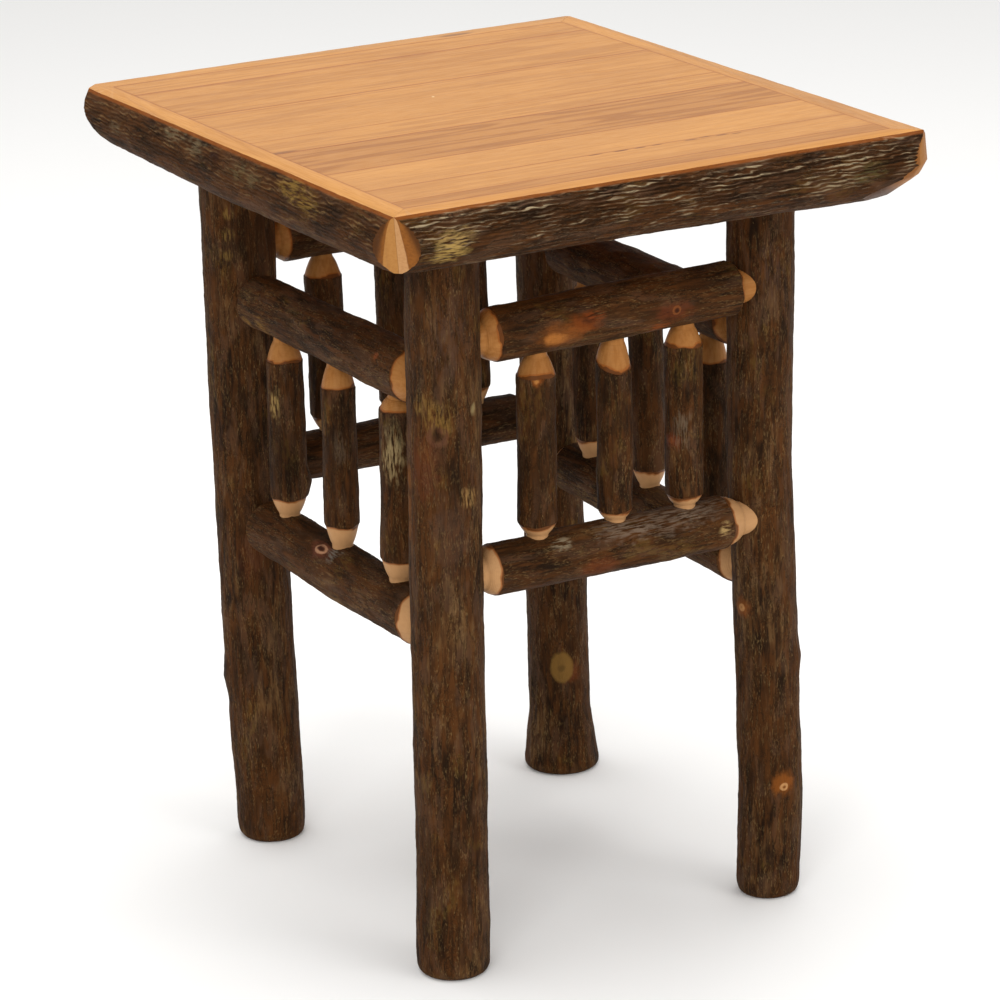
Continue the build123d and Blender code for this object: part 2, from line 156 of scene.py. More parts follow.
EDGE_LOG_STATIONS = {
    "front": [(0.0, 28.4, (0, -2.0)), (0.25, 28.2, (0, -1.8)), (0.5, 27.0, (0, 0.0)), (1.0, 26.6, (0, 0.4))],
    "back": [(0.0, 26.0, (0, 1.0)), (0.4, 27.0, (0, 0.0)), (0.7, 26.4, (0, 0.6)), (1.0, 25.4, (0, 1.8))],
    "left": [(0.0, 26.8, (0, 0.2)), (0.5, 27.2, (0, -0.2)), (0.75, 26.0, (0, 1.2)), (1.0, 24.4, (0, 3.2))],
    "right": [(0.0, 25.8, (0, 1.4)), (0.35, 27.0, (0, 0.0)), (0.6, 26.2, (0, 1.0)), (1.0, 27.8, (0, -1.0))],
}
# Patches on the bark: place, reach, strength, colour and look, with the axis along which a long one runs
PATCHES = {
    "leg_front_left": [
        ((-151.8, -181.0, 437.1), 14.0, 0.6, "7a5c2c", "shreds"),
        ((-158.8, -172.3, 447.3), 9.0, 0.5, "7a5c2c", "shreds"),
        ((-124.6, -185.1, 440.9), 2.6, 0.6, "8f7d55", "soft Z"),
        ((-152.1, -180.8, 424.0), 8.0, 0.4, "5e3d2c", "ring"),
        ((-152.1, -180.8, 426.0), 3.6, 0.8, "1c0c05", "soft Z"),
        ((-159.0, -172.6, 401.9), 14.0, 0.35, "5c2a12", "soft Z"),
        ((-129.6, -185.9, 376.0), 8.0, 0.8, "8d6c40", "shreds"),
        ((-161.7, -152.8, 388.1), 6.0, 0.5, "7d4a1a", "soft Z"),
        ((-161.5, -151.1, 367.2), 6.0, 0.5, "7d4a1a", "soft Z"),
        ((-162.3, -152.7, 348.8), 5.0, 0.4, "7d4a1a", "soft Z"),
        # The next two faint purple-grey strips down the front of the leg are a painted reflection of the lights
        # in front
        ((-144.2, -185.5, 496.1), 18.0, 0.3, "4d3a30", "shreds Z"),
        ((-144.8, -184.8, 346.8), 16.0, 0.3, "4b382e", "soft Z"),
    ],
    "leg_back_left": [
        ((-154.8, 137.0, 521.3), 6.0, 0.6, "7d6230", "shreds"),
        ((-155.3, 137.6, 504.7), 6.0, 0.6, "7d6230", "shreds"),
        ((-156.5, 138.7, 488.8), 5.0, 0.5, "7d6230", "shreds"),
        ((-150.6, 134.9, 242.1), 12.0, 0.3, "4e2614", "soft Z"),
    ],
    "leg_front_right": [
        # A faint purple-grey strip down the front of the leg, a painted reflection of the lights in front
        ((130.8, -184.6, 504.0), 12.0, 0.3, "4f3c33", "shreds Z"),
        ((114.3, -167.0, 239.0), 8.5, 0.75, "6e3d1a", "soft"),
        ((114.3, -167.0, 239.0), 3.2, 0.7, "a07448", "ring"),
        ((136.8, -186.4, 97.0), 10.5, 0.8, "7c4518", "soft"),
        ((136.8, -186.4, 94.5), 3.4, 0.75, "b98a58", "ring"),
        ((136.8, -186.4, 94.5), 1.6, 0.7, "3a1a0c", "soft"),
    ],
    "leg_back_right": [
        ((137.0, 133.4, 90.0), 11.0, 0.5, "6a3414", "soft"),
        ((129.8, 133.2, 94.2), 10.5, 0.9, "745528", "oval Z"),
        ((129.8, 133.2, 94.2), 3.6, 0.5, "3a2a14", "soft"),
        ((147.0, 133.7, 279.7), 12.0, 0.6, "7a5f34", "shreds"),
    ],
    "front_upper_rail": [
        ((-30.0, -184.0, 489.0), 8.0, 0.6, "74360f", "soft X"),
        ((-49.0, -183.0, 483.0), 11.0, 0.65, "7a441a", "soft X"),
        ((-54.0, -182.6, 481.0), 5.0, 0.75, "a3662e", "soft X"),
        ((-25.5, -184.0, 491.8), 3.8, 0.6, "1c0a04", "soft X"),
        ((-19.4, -183.8, 493.8), 5.0, 0.6, "7a3a16", "shreds X"),
        ((45.6, -185.8, 486.0), 9.0, 0.5, "5f2a12", "soft X"),
        ((47.1, -186.0, 487.0), 3.6, 0.7, "75421f", "ring"),
        ((47.1, -186.0, 487.0), 1.9, 0.8, "2a1208", "soft"),
        ((35.8, -180.6, 475.0), 6.0, 0.6, "7a3c18", "shreds X"),
    ],
    "left_lower_rail": [
        ((-148.9, 14.7, 284.7), 9.0, 0.5, "6e3a28", "soft Y"),
        ((-148.9, 14.7, 284.7), 4.0, 0.8, "ad8060", "ring Y"),
        ((-148.9, 14.7, 284.7), 2.6, 0.9, "24100a", "soft Y"),
        ((-146.7, -2.5, 285.9), 9.0, 0.7, "716a5f", "shreds"),
    ],
    "left_upper_rail": [
        ((-153.4, -93.1, 463.8), 3.6, 0.6, "7d4020", "soft"),
        ((-155.7, 85.1, 443.8), 11.0, 0.5, "7f5c28", "shreds"),
        ((-155.1, 111.7, 442.2), 8.0, 0.5, "7f5c28", "shreds"),
    ],
    "front_lower_rail": [
        # The grey shreds along the top of this rail are its silvery bark streaks with a painted highlight where
        # light falls on its top
        ((-47.8, -175.1, 322.6), 5.0, 0.7, "94866c", "shreds X"),
        ((5.0, -172.0, 323.5), 13.0, 0.55, "7d6b5a", "shreds X"),
        ((40.0, -172.0, 324.0), 16.0, 0.5, "7d6b5a", "shreds X"),
        ((75.0, -172.0, 324.0), 13.0, 0.45, "7d6b5a", "shreds X"),
        ((87.4, -184.9, 311.3), 6.0, 0.8, "a88a58", "shreds"),
        ((-18.9, -180.3, 300.6), 9.0, 0.4, "6a3217", "soft X"),
    ],
    "left_spindle_1": [
        ((-147.0, -100.6, 386.0), 10.0, 0.75, "957f58", "shreds Z"),
        ((-146.0, -102.0, 402.0), 8.0, 0.5, "857350", "shreds Z"),
    ],
    "left_spindle_3": [((-149.3, 82.9, 382.0), 6.5, 0.85, "8d7244", "shreds Z")],
    "left_spindle_2": [((-142.1, -10.0, 368.7), 7.0, 0.35, "5a4a3a", "shreds Z")],
    "front_spindle_1": [
        ((-65.8, -175.5, 450.8), 5.6, 0.8, "84461a", "soft"),
        ((-66.2, -175.3, 449.5), 2.4, 0.8, "a8723a", "soft"),
    ],
    "front_spindle_3": [
        ((53.0, -169.0, 382.0), 8.0, 0.5, "6a2f18", "soft"),
        ((53.0, -169.0, 382.5), 3.4, 0.8, "6e3c20", "ring"),
        ((53.0, -169.0, 382.5), 2.0, 0.9, "1a0a05", "soft"),
        ((56.2, -176.2, 393.0), 8.0, 0.5, "6a5a48", "shreds Z"),
    ],
    "front_edge_log": [
        ((-176.2, -262.1, 590.3), 9.0, 0.7, "a5874f", "shreds X"),
        ((-180.3, -259.1, 578.9), 9.0, 0.7, "a38548", "shreds X"),
        ((166.1, -263.7, 588.0), 9.0, 0.4, "56522f", "shreds X"),
        ((204.1, -261.7, 598.5), 3.6, 0.7, "120703", "soft"),
    ],
    "left_edge_log": [
        ((-228.6, 177.6, 592.0), 6.0, 0.25, "7d7258", "shreds Y"),
        ((-224.5, 81.6, 606.0), 9.0, 0.4, "857658", "shreds Y"),
        ((-226.2, 44.7, 603.5), 9.0, 0.35, "857658", "shreds Y"),
        ((-228.1, -30.7, 600.0), 8.0, 0.4, "6c5f40", "shreds Y"),
        ((-228.8, -54.1, 598.1), 7.0, 0.4, "6c5f40", "shreds Y"),
        ((-225.6, -110.9, 604.7), 11.0, 0.5, "8a6c30", "shreds Y"),
        ((-228.4, -137.2, 599.0), 10.0, 0.5, "8a6c30", "shreds Y"),
        ((-226.6, 9.2, 603.0), 5.0, 0.7, "24100a", "soft Y"),
    ],
}
# Swellings of the skin: place, reach, height
KNOTS = {
    "leg_front_left": [((-152.1, -180.8, 426.0), 9.0, 2.0)],
    "leg_front_right": [
        ((114.3, -167.0, 239.0), 9.0, 2.0),
        ((136.8, -186.4, 95.7), 13.5, 3.0),
        ((159.9, -174.4, 192.5), 16.0, 2.2),
    ],
    "leg_back_left": [((-160.3, 170.1, 136.8), 19.0, 2.6)],
    "leg_back_right": [((129.8, 133.2, 94.2), 14.3, 2.5)],
    "left_lower_rail": [((-149.2, 15.7, 284.4), 8.3, 2.2)],
    "front_upper_rail": [((-55.8, -182.5, 481.5), 12.8, 1.8), ((47.2, -186.0, 487.3), 6.8, 1.5)],
    "left_spindle_3": [((-120.2, 83.4, 316.2), 13.5, 4.0)],
    "left_edge_log": [((-226.6, 9.2, 603.0), 8.3, 0.6)],
    "front_spindle_3": [((53.0, -169.0, 382.5), 6.5, 1.2)],
}
# Dark dashes along the grain and pin knots in the planks: place, reach, strength, colour and which it is
TOP_MARKS = [
    (-194.5, -38.6, 3.0, 0.65, "6e3f18", "dash"),
    (107.3, 241.5, 3.4, 0.65, "6e3f18", "dash"),
    (-14.4, -177.0, 1.3, 0.8, "6a3a16", "dash"),
    (7.0, -177.5, 1.5, 0.9, "6a3a16", "dash"),
    (22.9, -177.7, 1.2, 0.8, "6a3a16", "dash"),
    (37.6, -177.1, 1.1, 0.8, "6a3a16", "dash"),
    (65.7, -178.4, 1.4, 0.8, "6a3a16", "dash"),
    (78.9, -176.5, 1.2, 0.8, "6a3a16", "dash"),
    (92.3, -178.5, 1.3, 0.8, "6a3a16", "dash"),
    (103.3, -180.7, 1.0, 0.8, "6a3a16", "dash"),
    (-17.5, 55.4, 1.2, 0.9, "e6cda2", "knot"),
]
# How dark each board is, how strong its figure is, and how strong the joint behind it is
PLANK_LOOKS = [(0.4, 0.35, 0.6), (0.1, 0.2, 0.6), (0.0, 0.16, 0.7), (0.38, 0.6, 1.0), (0.1, 0.3, 0.45)]
PLANK_LOOKS += [(0.12, 0.22, 0.9), (0.15, 0.28, 1.0), (0.1, 0.28, 0.85)]
JOINT_WIDTH = 0.8
SECOND_LINES = {6: 6.0, 7: 3.5}  # boards with a second dark line, and how far it lies before the joint
# How strongly each layer shows in the bark of the sticks, and of the half logs round the top. The ridge layer
# is a painted highlight on the raised bark; the low one is painted shade in the furrows and also sets the dark
# fissure lines
STYLE = dict(gold=0.35, bands=0.3, grey=0.4, crust=0.15, ridge=0.2, beads=0.28, low=0.5)
STYLE.update(rise=0.9, fleck="bark_fleck")
# On the edge logs the strong ridge layer is a painted silver highlight on the welt tops
EDGE_STYLE = dict(STYLE, gold=0.25, crust=0.1, ridge=0.8, beads=0.12, low=0.6, rise=0.5, fleck="bark_silver_and_highlight")
CALM_EDGE_STYLE = dict(EDGE_STYLE, gold=0.45, grey=0.2, ridge=0.4, low=0.4, fleck="bark_fleck")
# How far a patch frays and how it shrinks along its axis, as factors, and where it is full and where it ends
PATCH_LOOKS = {
    "soft": (1.3, 0.5, 0.35, 1.2),
    "oval": (0.25, 0.7, 0.75, 1.05),
    "ring": (0.5, 0.5, 0.35, 1.2),
    "shreds": (1.6, 0.5, 0.35, 1.2),
}
EDGE_BARK_DEPTH = 1.2  # what an edge log's skin is set back by, to leave room for its welts
PALE_CORE = (EDGE_LOG_RADIUS - 4.2) * MM  # where the pale wood of a sanded corner ends
TOOL_RING_SPACING = 1.1  # from one ring of the pointing tool to the next
WARM_SHEEN = (1.0, 0.8, 0.6, 1.0)  # tint of the lacquer's sheen over dark bark
PALE_BELOW = (430.0, 350.0)  # height from which the points turn paler, and where they are palest
SLANTED_SPINDLE = ("front", 2)
SLANT_ANGLE, SLANT_HEADING = 24.0, 95.0  # degrees, and where its bark reaches highest
WORLD_STRENGTH, LIGHT_TARGET = 0.7, (0, 0, 0.35)
# Lights as place, size in metres and power in watts
LIGHTS = [
    ("key", (-2.6, -2.9, 2.2), 1.8, 58.0),
    ("fill", (1.6, -3.4, 1.9), 1.8, 35.0),
    ("overhead", (0.1, 0.3, 3.2), 2.4, 70.0),
]
CAMERA_ANGLES = (-29.4596, 18.0879, -1.5399)  # turn, lift and roll in degrees
CAMERA_TARGET, CAMERA_DISTANCE, CAMERA_LENS = (0, 0, 0.3), 3.34533, 156.07  # metres, and lens in millimetres


def linear(code):
    """A colour written as an sRGB hex value, as linear light."""
    parts = [int(code[place : place + 2], 16) / 255 for place in (0, 2, 4)]
    return [part / 12.92 if part <= 0.04045 else ((part + 0.055) / 1.055) ** 2.4 for part in parts]


def colour_setting(name, description, code):
    return bpy.props.FloatVectorProperty(
        name=name, description=description, default=linear(code), size=3, min=0, max=1, subtype="COLOR"
    )


def size_setting(name, description, millimetres):
    return bpy.props.FloatProperty(
        name=name, description=description, default=millimetres * MM, min=0, unit="LENGTH", precision=5
    )


class TABLE_PG_sizes(bpy.types.PropertyGroup):
    furrow_spacing: size_setting("Furrow Spacing", "From one bark furrow to the next round a log", 6.0)
    furrow_depth: size_setting("Furrow Depth", "Height of the bark ridges over the furrows", 1.2)
    lump_size: size_setting("Lump Size", "Width of the slow swells of a log", 38.0)
    lump_height: size_setting("Lump Height", "Height of the slow swells of a log", 2.0)
    scale_width: size_setting("Scale Width", "From one bark scale to the next round a log", 3.2)
    grit_size: size_setting("Grit Size", "Width of the grit on the bark", 3.2)
    grit_height: size_setting("Grit Height", "Height of the grit on the bark", 0.42)
    welt_spacing: size_setting("Welt Spacing", "From one long welt of an edge log's bark to the next", 2.8)
    welt_height: size_setting("Welt Height", "Height of those welts", 1.1)
    welt_wander: bpy.props.FloatProperty(name="Welt Wander", description="How much the welts fork", default=6.0)
    rim_wander: size_setting("Rim Wander", "How far the edge of the bark wanders along a point", 3.0)
    floor_width: size_setting("Floor Width", "Side of the studio floor", 40000.0)


class TABLE_PG_colours(bpy.types.PropertyGroup):
    bark_dark: colour_setting("Dark Bark", "Furrows and shaded bark", "1b0e05")
    bark_brown: colour_setting("Brown Bark", "Body of the bark", "40240e")
    bark_gold: colour_setting("Golden Bark", "Worn ridges and warm zones", "543114")
    # This grey also paints the highlight on raised bark
    bark_grey_and_highlight: colour_setting("Grey Plates", "Weathered purple-grey plates", "4f3828")
    # This colour also paints the highlight on the raised ridges of the sticks and of the left edge log
    bark_fleck: colour_setting("Bark Flecks", "Cream flecks on the ridges", "8c7046")
    # The silver of the edge logs' welts is a painted highlight on their tops; the same colour makes their few
    # silvery flecks
    bark_silver_and_highlight: colour_setting("Silver Bark", "Silvery welts of the edge logs", "9a8a6c")
    lichen: colour_setting("Lichen", "Yellow-cream crust", "7d632c")
    inner_bark: colour_setting("Inner Bark", "Thin line where the bark is cut", "86481a")
    point_wood: colour_setting("Point Wood", "Bare sapwood of the pencil points", "9d6a38")
    point_pale: colour_setting("Pale Point Wood", "Points of the lower sticks", "c39b70")
    point_warm: colour_setting("Warm Point Wood", "Orange streaks in the points", "824d1e")
    top_wood: colour_setting("Top Wood", "Honey-coloured planks", "be8542")
    top_dark: colour_setting("Top Figure", "Darker latewood of the planks", "8a5219")
    zinc: colour_setting("Zinc", "Plated screws", "a9a9a4")
    floor: colour_setting("Floor", "Pale studio floor", "f7f6f4")


def sizes():
    return bpy.context.scene.table_sizes


def colours():
    return bpy.context.scene.table_colours


# ---- Logs ----


class Log:
    """The line and thickness of a natural log between two points, in millimetres."""

    def __init__(self, start, end, stations, sideways=(1, 0, 0)):
        self.start = Vector(start)
        self.length = (Vector(end) - self.start).length
        self.along = (Vector(end) - self.start).normalized()
        across = Vector(sideways)
        self.sideways = (across - self.along * across.dot(self.along)).normalized()
        self.upwards = self.along.cross(self.sideways)
        self.stations = stations

    def at(self, distance):
        """Centre and radius at a distance along the log."""
        share = distance / self.length
        for before, after in zip(self.stations, self.stations[1:]):
            if share <= after[0]:
                break
        part = (share - before[0]) / (after[0] - before[0])
        radius = before[1] + (after[1] - before[1]) * part
        across = before[2][0] + (after[2][0] - before[2][0]) * part
        up = before[2][1] + (after[2][1] - before[2][1]) * part
        centre = self.start + self.along * distance
        return centre + self.sideways * across + self.upwards * up, radius

    def turn(self):
        """The rotation that takes Z to the length of the log."""
        return Matrix((self.sideways, self.upwards, self.along)).transposed().to_4x4()


def leg_logs():
    logs = {}
    for name, stations in LEG_STATIONS.items():
        x = LEG_X if name.endswith("right") else -LEG_X
        y = LEG_Y if name.startswith("back") else -LEG_Y
        logs[name] = Log((x, y, 0), (x, y, LEG_TOP), stations)
    return logs


def stick_marks(log, skins, points):
    """Where the bark of a stick starts and ends, and how far its two tenons start beyond."""
    near, far = [skin + point for skin, point in zip(skins, points)]
    return [(near, points[0] - SHOULDER_GAP), (log.length - far, points[1] - SHOULDER_GAP)]


def rail_logs(legs):
    """Every rail's log, with the marks of its points."""
    rails = {}
    for side, posts in SIDES.items():
        across = Vector((0, 1, 0)) if side in ALONG_X else Vector((-1, 0, 0))
        for level, height in zip(("upper", "lower"), RAIL_LEVELS[side]):
            name = f"{side}_{level}"
            radii, bow, entries, points = RAIL_SHAPES[name]
            found = [legs[post].at(height + rise) for post, (off, rise) in zip(posts, entries)]
            start, end = [centre + across * off for (centre, skin), (off, rise) in zip(found, entries)]
            stations = [(0.0, radii[0], (0, 0)), (0.5, radii[1], bow), (1.0, radii[2], (0, 0))]
            log = Log(start, end, stations, Vector((0, 0, 1)).cross(end - start))
            rails[name] = log, stick_marks(log, [skin for centre, skin in found], points)
    return rails


def spindle_logs(rails):
    """Every spindle's log, from rail to rail, with the marks of its points."""
    spindles = {}
    for side, shapes in SPINDLE_SHAPES.items():
        lower, upper = rails[f"{side}_lower"][0], rails[f"{side}_upper"][0]
        for number, (foot, head) in enumerate(shapes, start=1):
            start, start_skin = lower.at(foot[0] * lower.length)
            end, end_skin = upper.at(head[0] * upper.length)
            log = Log(start, end, [(0.0, foot[1], (0, 0)), (1.0, head[1], (0, 0))])
            spindles[side, number] = log, stick_marks(log, (start_skin, end_skin), (foot[2], head[2]))
    return spindles


# ---- Modelling ----


def pick_nothing():
    if bpy.context.object and bpy.context.object.mode != "OBJECT":
        bpy.ops.object.mode_set(mode="OBJECT")
    bpy.ops.object.select_all(action="DESELECT")


def keep_only(piece):
    """Makes a piece the one that operators act on."""
    pick_nothing()
    piece.select_set(True)
    bpy.context.view_layer.objects.active = piece


def clamped(value, low=0.0):
    return min(1.0, max(low, value))


def steps_between(first, last, step):
    """Even steps of about a length between two distances, without the two."""
    count = max(2, round((last - first) / step))
    return [first + (last - first) * number / count for number in range(1, count)]


def grow(name, log, rings, sides):
    """A closed skin drawn out ring by ring along a log. A ring is (distance along it, radius)."""
    widen = 3 / (2 + math.cos(2 * math.pi / sides))  # smoothing pulls a ring of corners in by this much
    pick_nothing()
    centre = log.at(rings[0][0])[0] * MM
    radius = rings[0][1]
    bpy.ops.mesh.primitive_circle_add(
        vertices=sides,
        radius=radius * widen * MM,
        fill_type="NGON",
        location=centre,
        rotation=log.turn().to_euler(),
    )
    piece = bpy.context.object
    piece.name = piece.data.name = name
    bpy.ops.object.mode_set(mode="EDIT")
    for distance, wide in rings[1:]:
        onward = log.at(distance)[0] * MM
        bpy.ops.mesh.extrude_region_move(TRANSFORM_OT_translate={"value": onward - centre})
        scale = wide / radius
        bpy.ops.transform.resize(value=(scale, scale, scale), center_override=onward)
        centre, radius = onward, wide
    bpy.ops.mesh.select_all(action="SELECT")
    bpy.ops.mesh.normals_make_consistent(inside=False)
    bpy.ops.object.mode_set(mode="OBJECT")
    bpy.ops.object.transform_apply(location=True, rotation=True, scale=True)
    return piece


def distances(piece, log):
    """How far along the log each corner of a piece lies, in millimetres."""
    return [(corner.co / MM - log.start).dot(log.along) for corner in piece.data.vertices]


def weigh(piece, name, weights):
    """Gives a piece a vertex group with a weight for each corner, in steps of a twentieth."""
    group = piece.vertex_groups.new(name=name)
    for level in range(1, 21):
        chosen = [index for index, weight in enumerate(weights) if round(weight * 20) == level]
        if chosen:
            group.add(chosen, level / 20, "REPLACE")


def remember(piece, name, values):
    """Stores one number for each corner of a piece, for its material."""
    layer = piece.data.attributes.new(name, "FLOAT", "POINT")
    layer.data.foreach_set("value", values)


def smooth(piece):
    keep_only(piece)
    modifier = piece.modifiers.new("smooth", "SUBSURF")
    modifier.levels = modifier.render_levels = 2
    bpy.ops.object.modifier_apply(modifier=modifier.name)


def texture(kind, name, **settings):
    made = bpy.data.textures.get(name) or bpy.data.textures.new(name, kind)
    for key, value in settings.items():
        setattr(made, key, value)
    return made


def raise_skin(piece, pattern, height, place, group="", middle=0.5, direction="NORMAL"):
    """Moves a piece's skin out and in by a texture that is laid out in the space of an empty."""
    pick_nothing()
    bpy.ops.object.empty_add()
    holder = bpy.context.object
    bpy.ops.object.empty_add()
    frame_empty = bpy.context.object
    frame_empty.parent = holder
    frame_empty.matrix_parent_inverse = place  # a plain matrix would lose a slanted frame
    bpy.context.view_layer.update()
    keep_only(piece)
    modifier = piece.modifiers.new(pattern.name, "DISPLACE")
    modifier.texture = pattern
    modifier.texture_coords = "OBJECT"
    modifier.texture_coords_object = frame_empty
    modifier.strength = height
    modifier.mid_level = middle
    modifier.direction = direction
    modifier.vertex_group = group
    bpy.ops.object.modifier_apply(modifier=modifier.name)
    bpy.data.objects.remove(frame_empty)
    bpy.data.objects.remove(holder)


def barked(piece, node, log, seed, spread=1.0, scale_height=0.4, welts=None):
    """Swells, ridges, scales and grit on the bark of a piece, and their height stored for its material."""
    setting = sizes()
    flat = [corner.co.copy() for corner in piece.data.vertices]
    normals = [corner.normal.copy() for corner in piece.data.vertices]
    swells = texture("CLOUDS", "log_swells", noise_scale=1.0, noise_depth=1)
    ridges = texture(
        "MUSGRAVE",
        "bark_ridges",
        musgrave_type="RIDGED_MULTIFRACTAL",
        noise_scale=1.0,
        octaves=2.5,
        lacunarity=2.1,
        offset=0.9,
        gain=1.6,
        noise_intensity=0.55,
    )
    grit = texture("CLOUDS", "bark_grit", noise_scale=1.0, noise_depth=2)
    plates = texture("VORONOI", "bark_scales", noise_scale=1.0, weight_1=-1.0, weight_2=1.0)
    shift = log.start * MM + Vector((seed * 0.613, seed * 0.271, seed * 0.437))

    def laid(width, stretch, twist=0.0):
        """A frame along the log with a pattern's width, how much longer it is, and how it winds round."""
        size = Matrix.Diagonal((width, width, width * stretch, 1))
        return Matrix.Translation(shift) @ log.turn() @ Matrix.Rotation(twist, 4, "X") @ size

    raise_skin(piece, swells, setting.lump_height * spread, laid(setting.lump_size, 2.0), "bark")
    if welts:  # the painted silver highlight follows the welts alone, so the swells don't count as relief
        flat = [corner.co.copy() for corner in piece.data.vertices]
    furrows = laid(setting.furrow_spacing * 1.6, 5.0, 0.12)
    raise_skin(piece, ridges, setting.furrow_depth * spread, furrows, "bark")
    raise_skin(piece, plates, scale_height * MM, laid(setting.scale_width, 3.2, 0.1), "bark")
    if welts:
        waves = texture(
            "WOOD",
            "bark_welts",
            wood_type="BANDNOISE",
            noise_basis_2="SIN",
            noise_scale=0.9,
            turbulence=setting.welt_wander,
        )
        raise_skin(piece, waves, setting.welt_height, welts, "welts")
    raise_skin(piece, grit, setting.grit_height * spread, laid(setting.grit_size, 2.2), "bark")
    relief = [
        (corner.co - old).dot(normal) / MM for corner, old, normal in zip(piece.data.vertices, flat, normals)
    ]
    usual = sorted(relief)[len(relief) // 2]
    bump = texture("BLEND", "knot_swell", progression="SPHERICAL")
    for place, reach, rise in KNOTS.get(node, ()):
        spot = Matrix.Translation(Vector(place) * MM) @ Matrix.Scale(reach * MM, 4)
        raise_skin(piece, bump, rise * MM, spot, middle=0.0)
    remember(piece, "relief", [height - usual for height in relief])


def finish_piece(piece, node, materials):
    """Smooths a finished piece, gives it its materials, hangs it under the root and hides the node that it
    replaces.
    """
    keep_only(piece)
    bpy.ops.object.shade_smooth_by_angle(angle=math.radians(50))
    piece.vertex_groups.clear()
    for material in materials:
        piece.data.materials.append(material)
    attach(piece, "root")
    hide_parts(node)


def point_rings(log, mark, point, tenon, way):
    """Rings over one end of a stick, from its bark over the domed point to the end of the tenon."""
    radius, length, dome = tenon
    bark_radius = log.at(mark)[1]
    bare = bark_radius - BARK_THICKNESS
    rings = [(-BARK_LIP, bark_radius), (-0.5, bark_radius - 0.05), (0.0, bark_radius - 0.5), (BARK_BEVEL, bare)]
    for part in (0.12, 0.35, 0.6, 0.82, 0.96):
        share = (1 - dome) * (1 - part) + dome * math.sqrt(1 - part**2)
        rings.append((BARK_BEVEL + (point - BARK_BEVEL) * part, radius + (bare - radius) * share))
    rings += [(point + 0.4, radius), (point + length - 1.0, radius), (point + length, radius - 0.8)]
    return [(mark + way * out, wide) for out, wide in rings]


def make_stick(node, axis, log, marks, tenon, spacing, seed, slanted=False):
    """A log with a pencil point and a tenon at each end."""
    (first, first_point), (last, last_point) = marks
    sides, step = spacing
    middle = [(place, log.at(place)[1]) for place in steps_between(first + BARK_LIP, last - BARK_LIP, step)]
    rings = point_rings(log, first, first_point, tenon, -1)[::-1] + middle
    rings += point_rings(log, last, last_point, tenon, 1)
    piece = grow(f"{node}_stick", log, rings, sides)

    def beyond_bark():
        return [max(first - distance, distance - last) for distance in distances(piece, log)]

    weigh(piece, "bark", [clamped((1.5 - out) / 5.0) if out < 0.2 else 0.0 for out in beyond_bark()])
    weigh(piece, "rim", [max(0.0, 1 - abs(out) / RIM_REACH) for out in beyond_bark()])
    smooth(piece)
    remember(piece, "bare", beyond_bark())
    wander = texture("CLOUDS", "rim_wander", noise_scale=1.0, noise_depth=1)
    shift = log.start * MM + Vector((seed * 0.377, seed * 0.519, 0))
    place = Matrix.Translation(shift) @ Matrix.Scale(RIM_GRAIN * MM, 4)
    raise_skin(piece, wander, sizes().rim_wander, place, "rim", direction=axis)
    if slanted:
        lean = texture("BLEND", "slant", progression="LINEAR")
        heading = Matrix.Rotation(math.radians(SLANT_HEADING + 180), 4, "Z")
        centre, radius = log.at(last)
        place = Matrix.Translation(centre * MM) @ heading @ Matrix.Scale(radius * MM, 4)
        height = 2 * radius * math.tan(math.radians(SLANT_ANGLE)) * MM
        weigh(piece, "head", [max(0.0, 1 - abs(up - last) / SLANT_REACH) for up in distances(piece, log)])
        raise_skin(piece, lean, -height, place, "head", 0.0, "Z")
    barked(piece, node, log, seed)
    finish_piece(piece, node, [stick_material(node, axis, seed)])


# ---- Materials ----


def add(tree, kind, links=(), out=0, **settings):
    """Adds a shader node with its settings, sets or links its inputs, and gives one of its outputs."""
    made = tree.nodes.new(f"ShaderNode{kind}")
    for key, value in settings.items():
        setattr(made, key, value)
    for key, value in links.items() if isinstance(links, dict) else enumerate(links):
        socket = made.inputs[key]
        if isinstance(value, bpy.types.NodeSocket):
            tree.links.new(value, socket)
        else:
            socket.default_value = (*value, 1) if socket.type == "RGBA" else value
    return made.outputs[out]


def new_material(name):
    material = bpy.data.materials.new(name)
    material.use_nodes = True
    tree = material.node_tree
    tree.nodes.clear()
    surface = add(tree, "BsdfPrincipled")
    tree.links.new(surface, tree.nodes.new("ShaderNodeOutputMaterial").inputs["Surface"])
    return material, tree, surface.node


def coat(tree, shader, colour, rough, normal, sheen, tint=(1.0, 1.0, 1.0, 1.0)):
    """Gives a shader the colour, roughness and relief of a wood, and the sheen of its lacquer."""
    for name, value in (("Base Color", colour), ("Roughness", rough), ("Normal", normal)):
        tree.links.new(value, shader.inputs[name])
    shader.inputs["Specular IOR Level"].default_value = sheen
    shader.inputs["Specular Tint"].default_value = tint


def stretched(tree, axis, stretch, shift=(0, 0, 0)):
    """Object coordinates in millimetres, squeezed along one axis so that a pattern runs long that way."""
    scale = [1 / (MM * (stretch if name == axis else 1)) for name in "XYZ"]
    links = {"Vector": add(tree, "TexCoord", out="Object"), "Scale": scale, "Location": shift}
    return add(tree, "Mapping", links)


def fade(tree, value, start, end):
    """A mask that grows softly from nothing at one value to all at another."""
    links = {"Value": value, "From Min": start, "From Max": end}
    return add(tree, "MapRange", links, interpolation_type="SMOOTHSTEP")


def speckle(tree, where, width, edges=(), detail=3.0, distortion=0.0):
    """Noise as coarse as a width in millimetres, or a soft-edged mask of where it passes two levels."""
    links = {"Vector": where, "Scale": 1 / width, "Detail": detail, "Distortion": distortion}
    grain = add(tree, "TexNoise", links)
    return fade(tree, grain, *edges) if edges else grain


def apart(tree, value, level):
    """How far a value is from a level, to either side."""
    return add(tree, "Math", (add(tree, "Math", (value, level), operation="SUBTRACT"),), operation="ABSOLUTE")


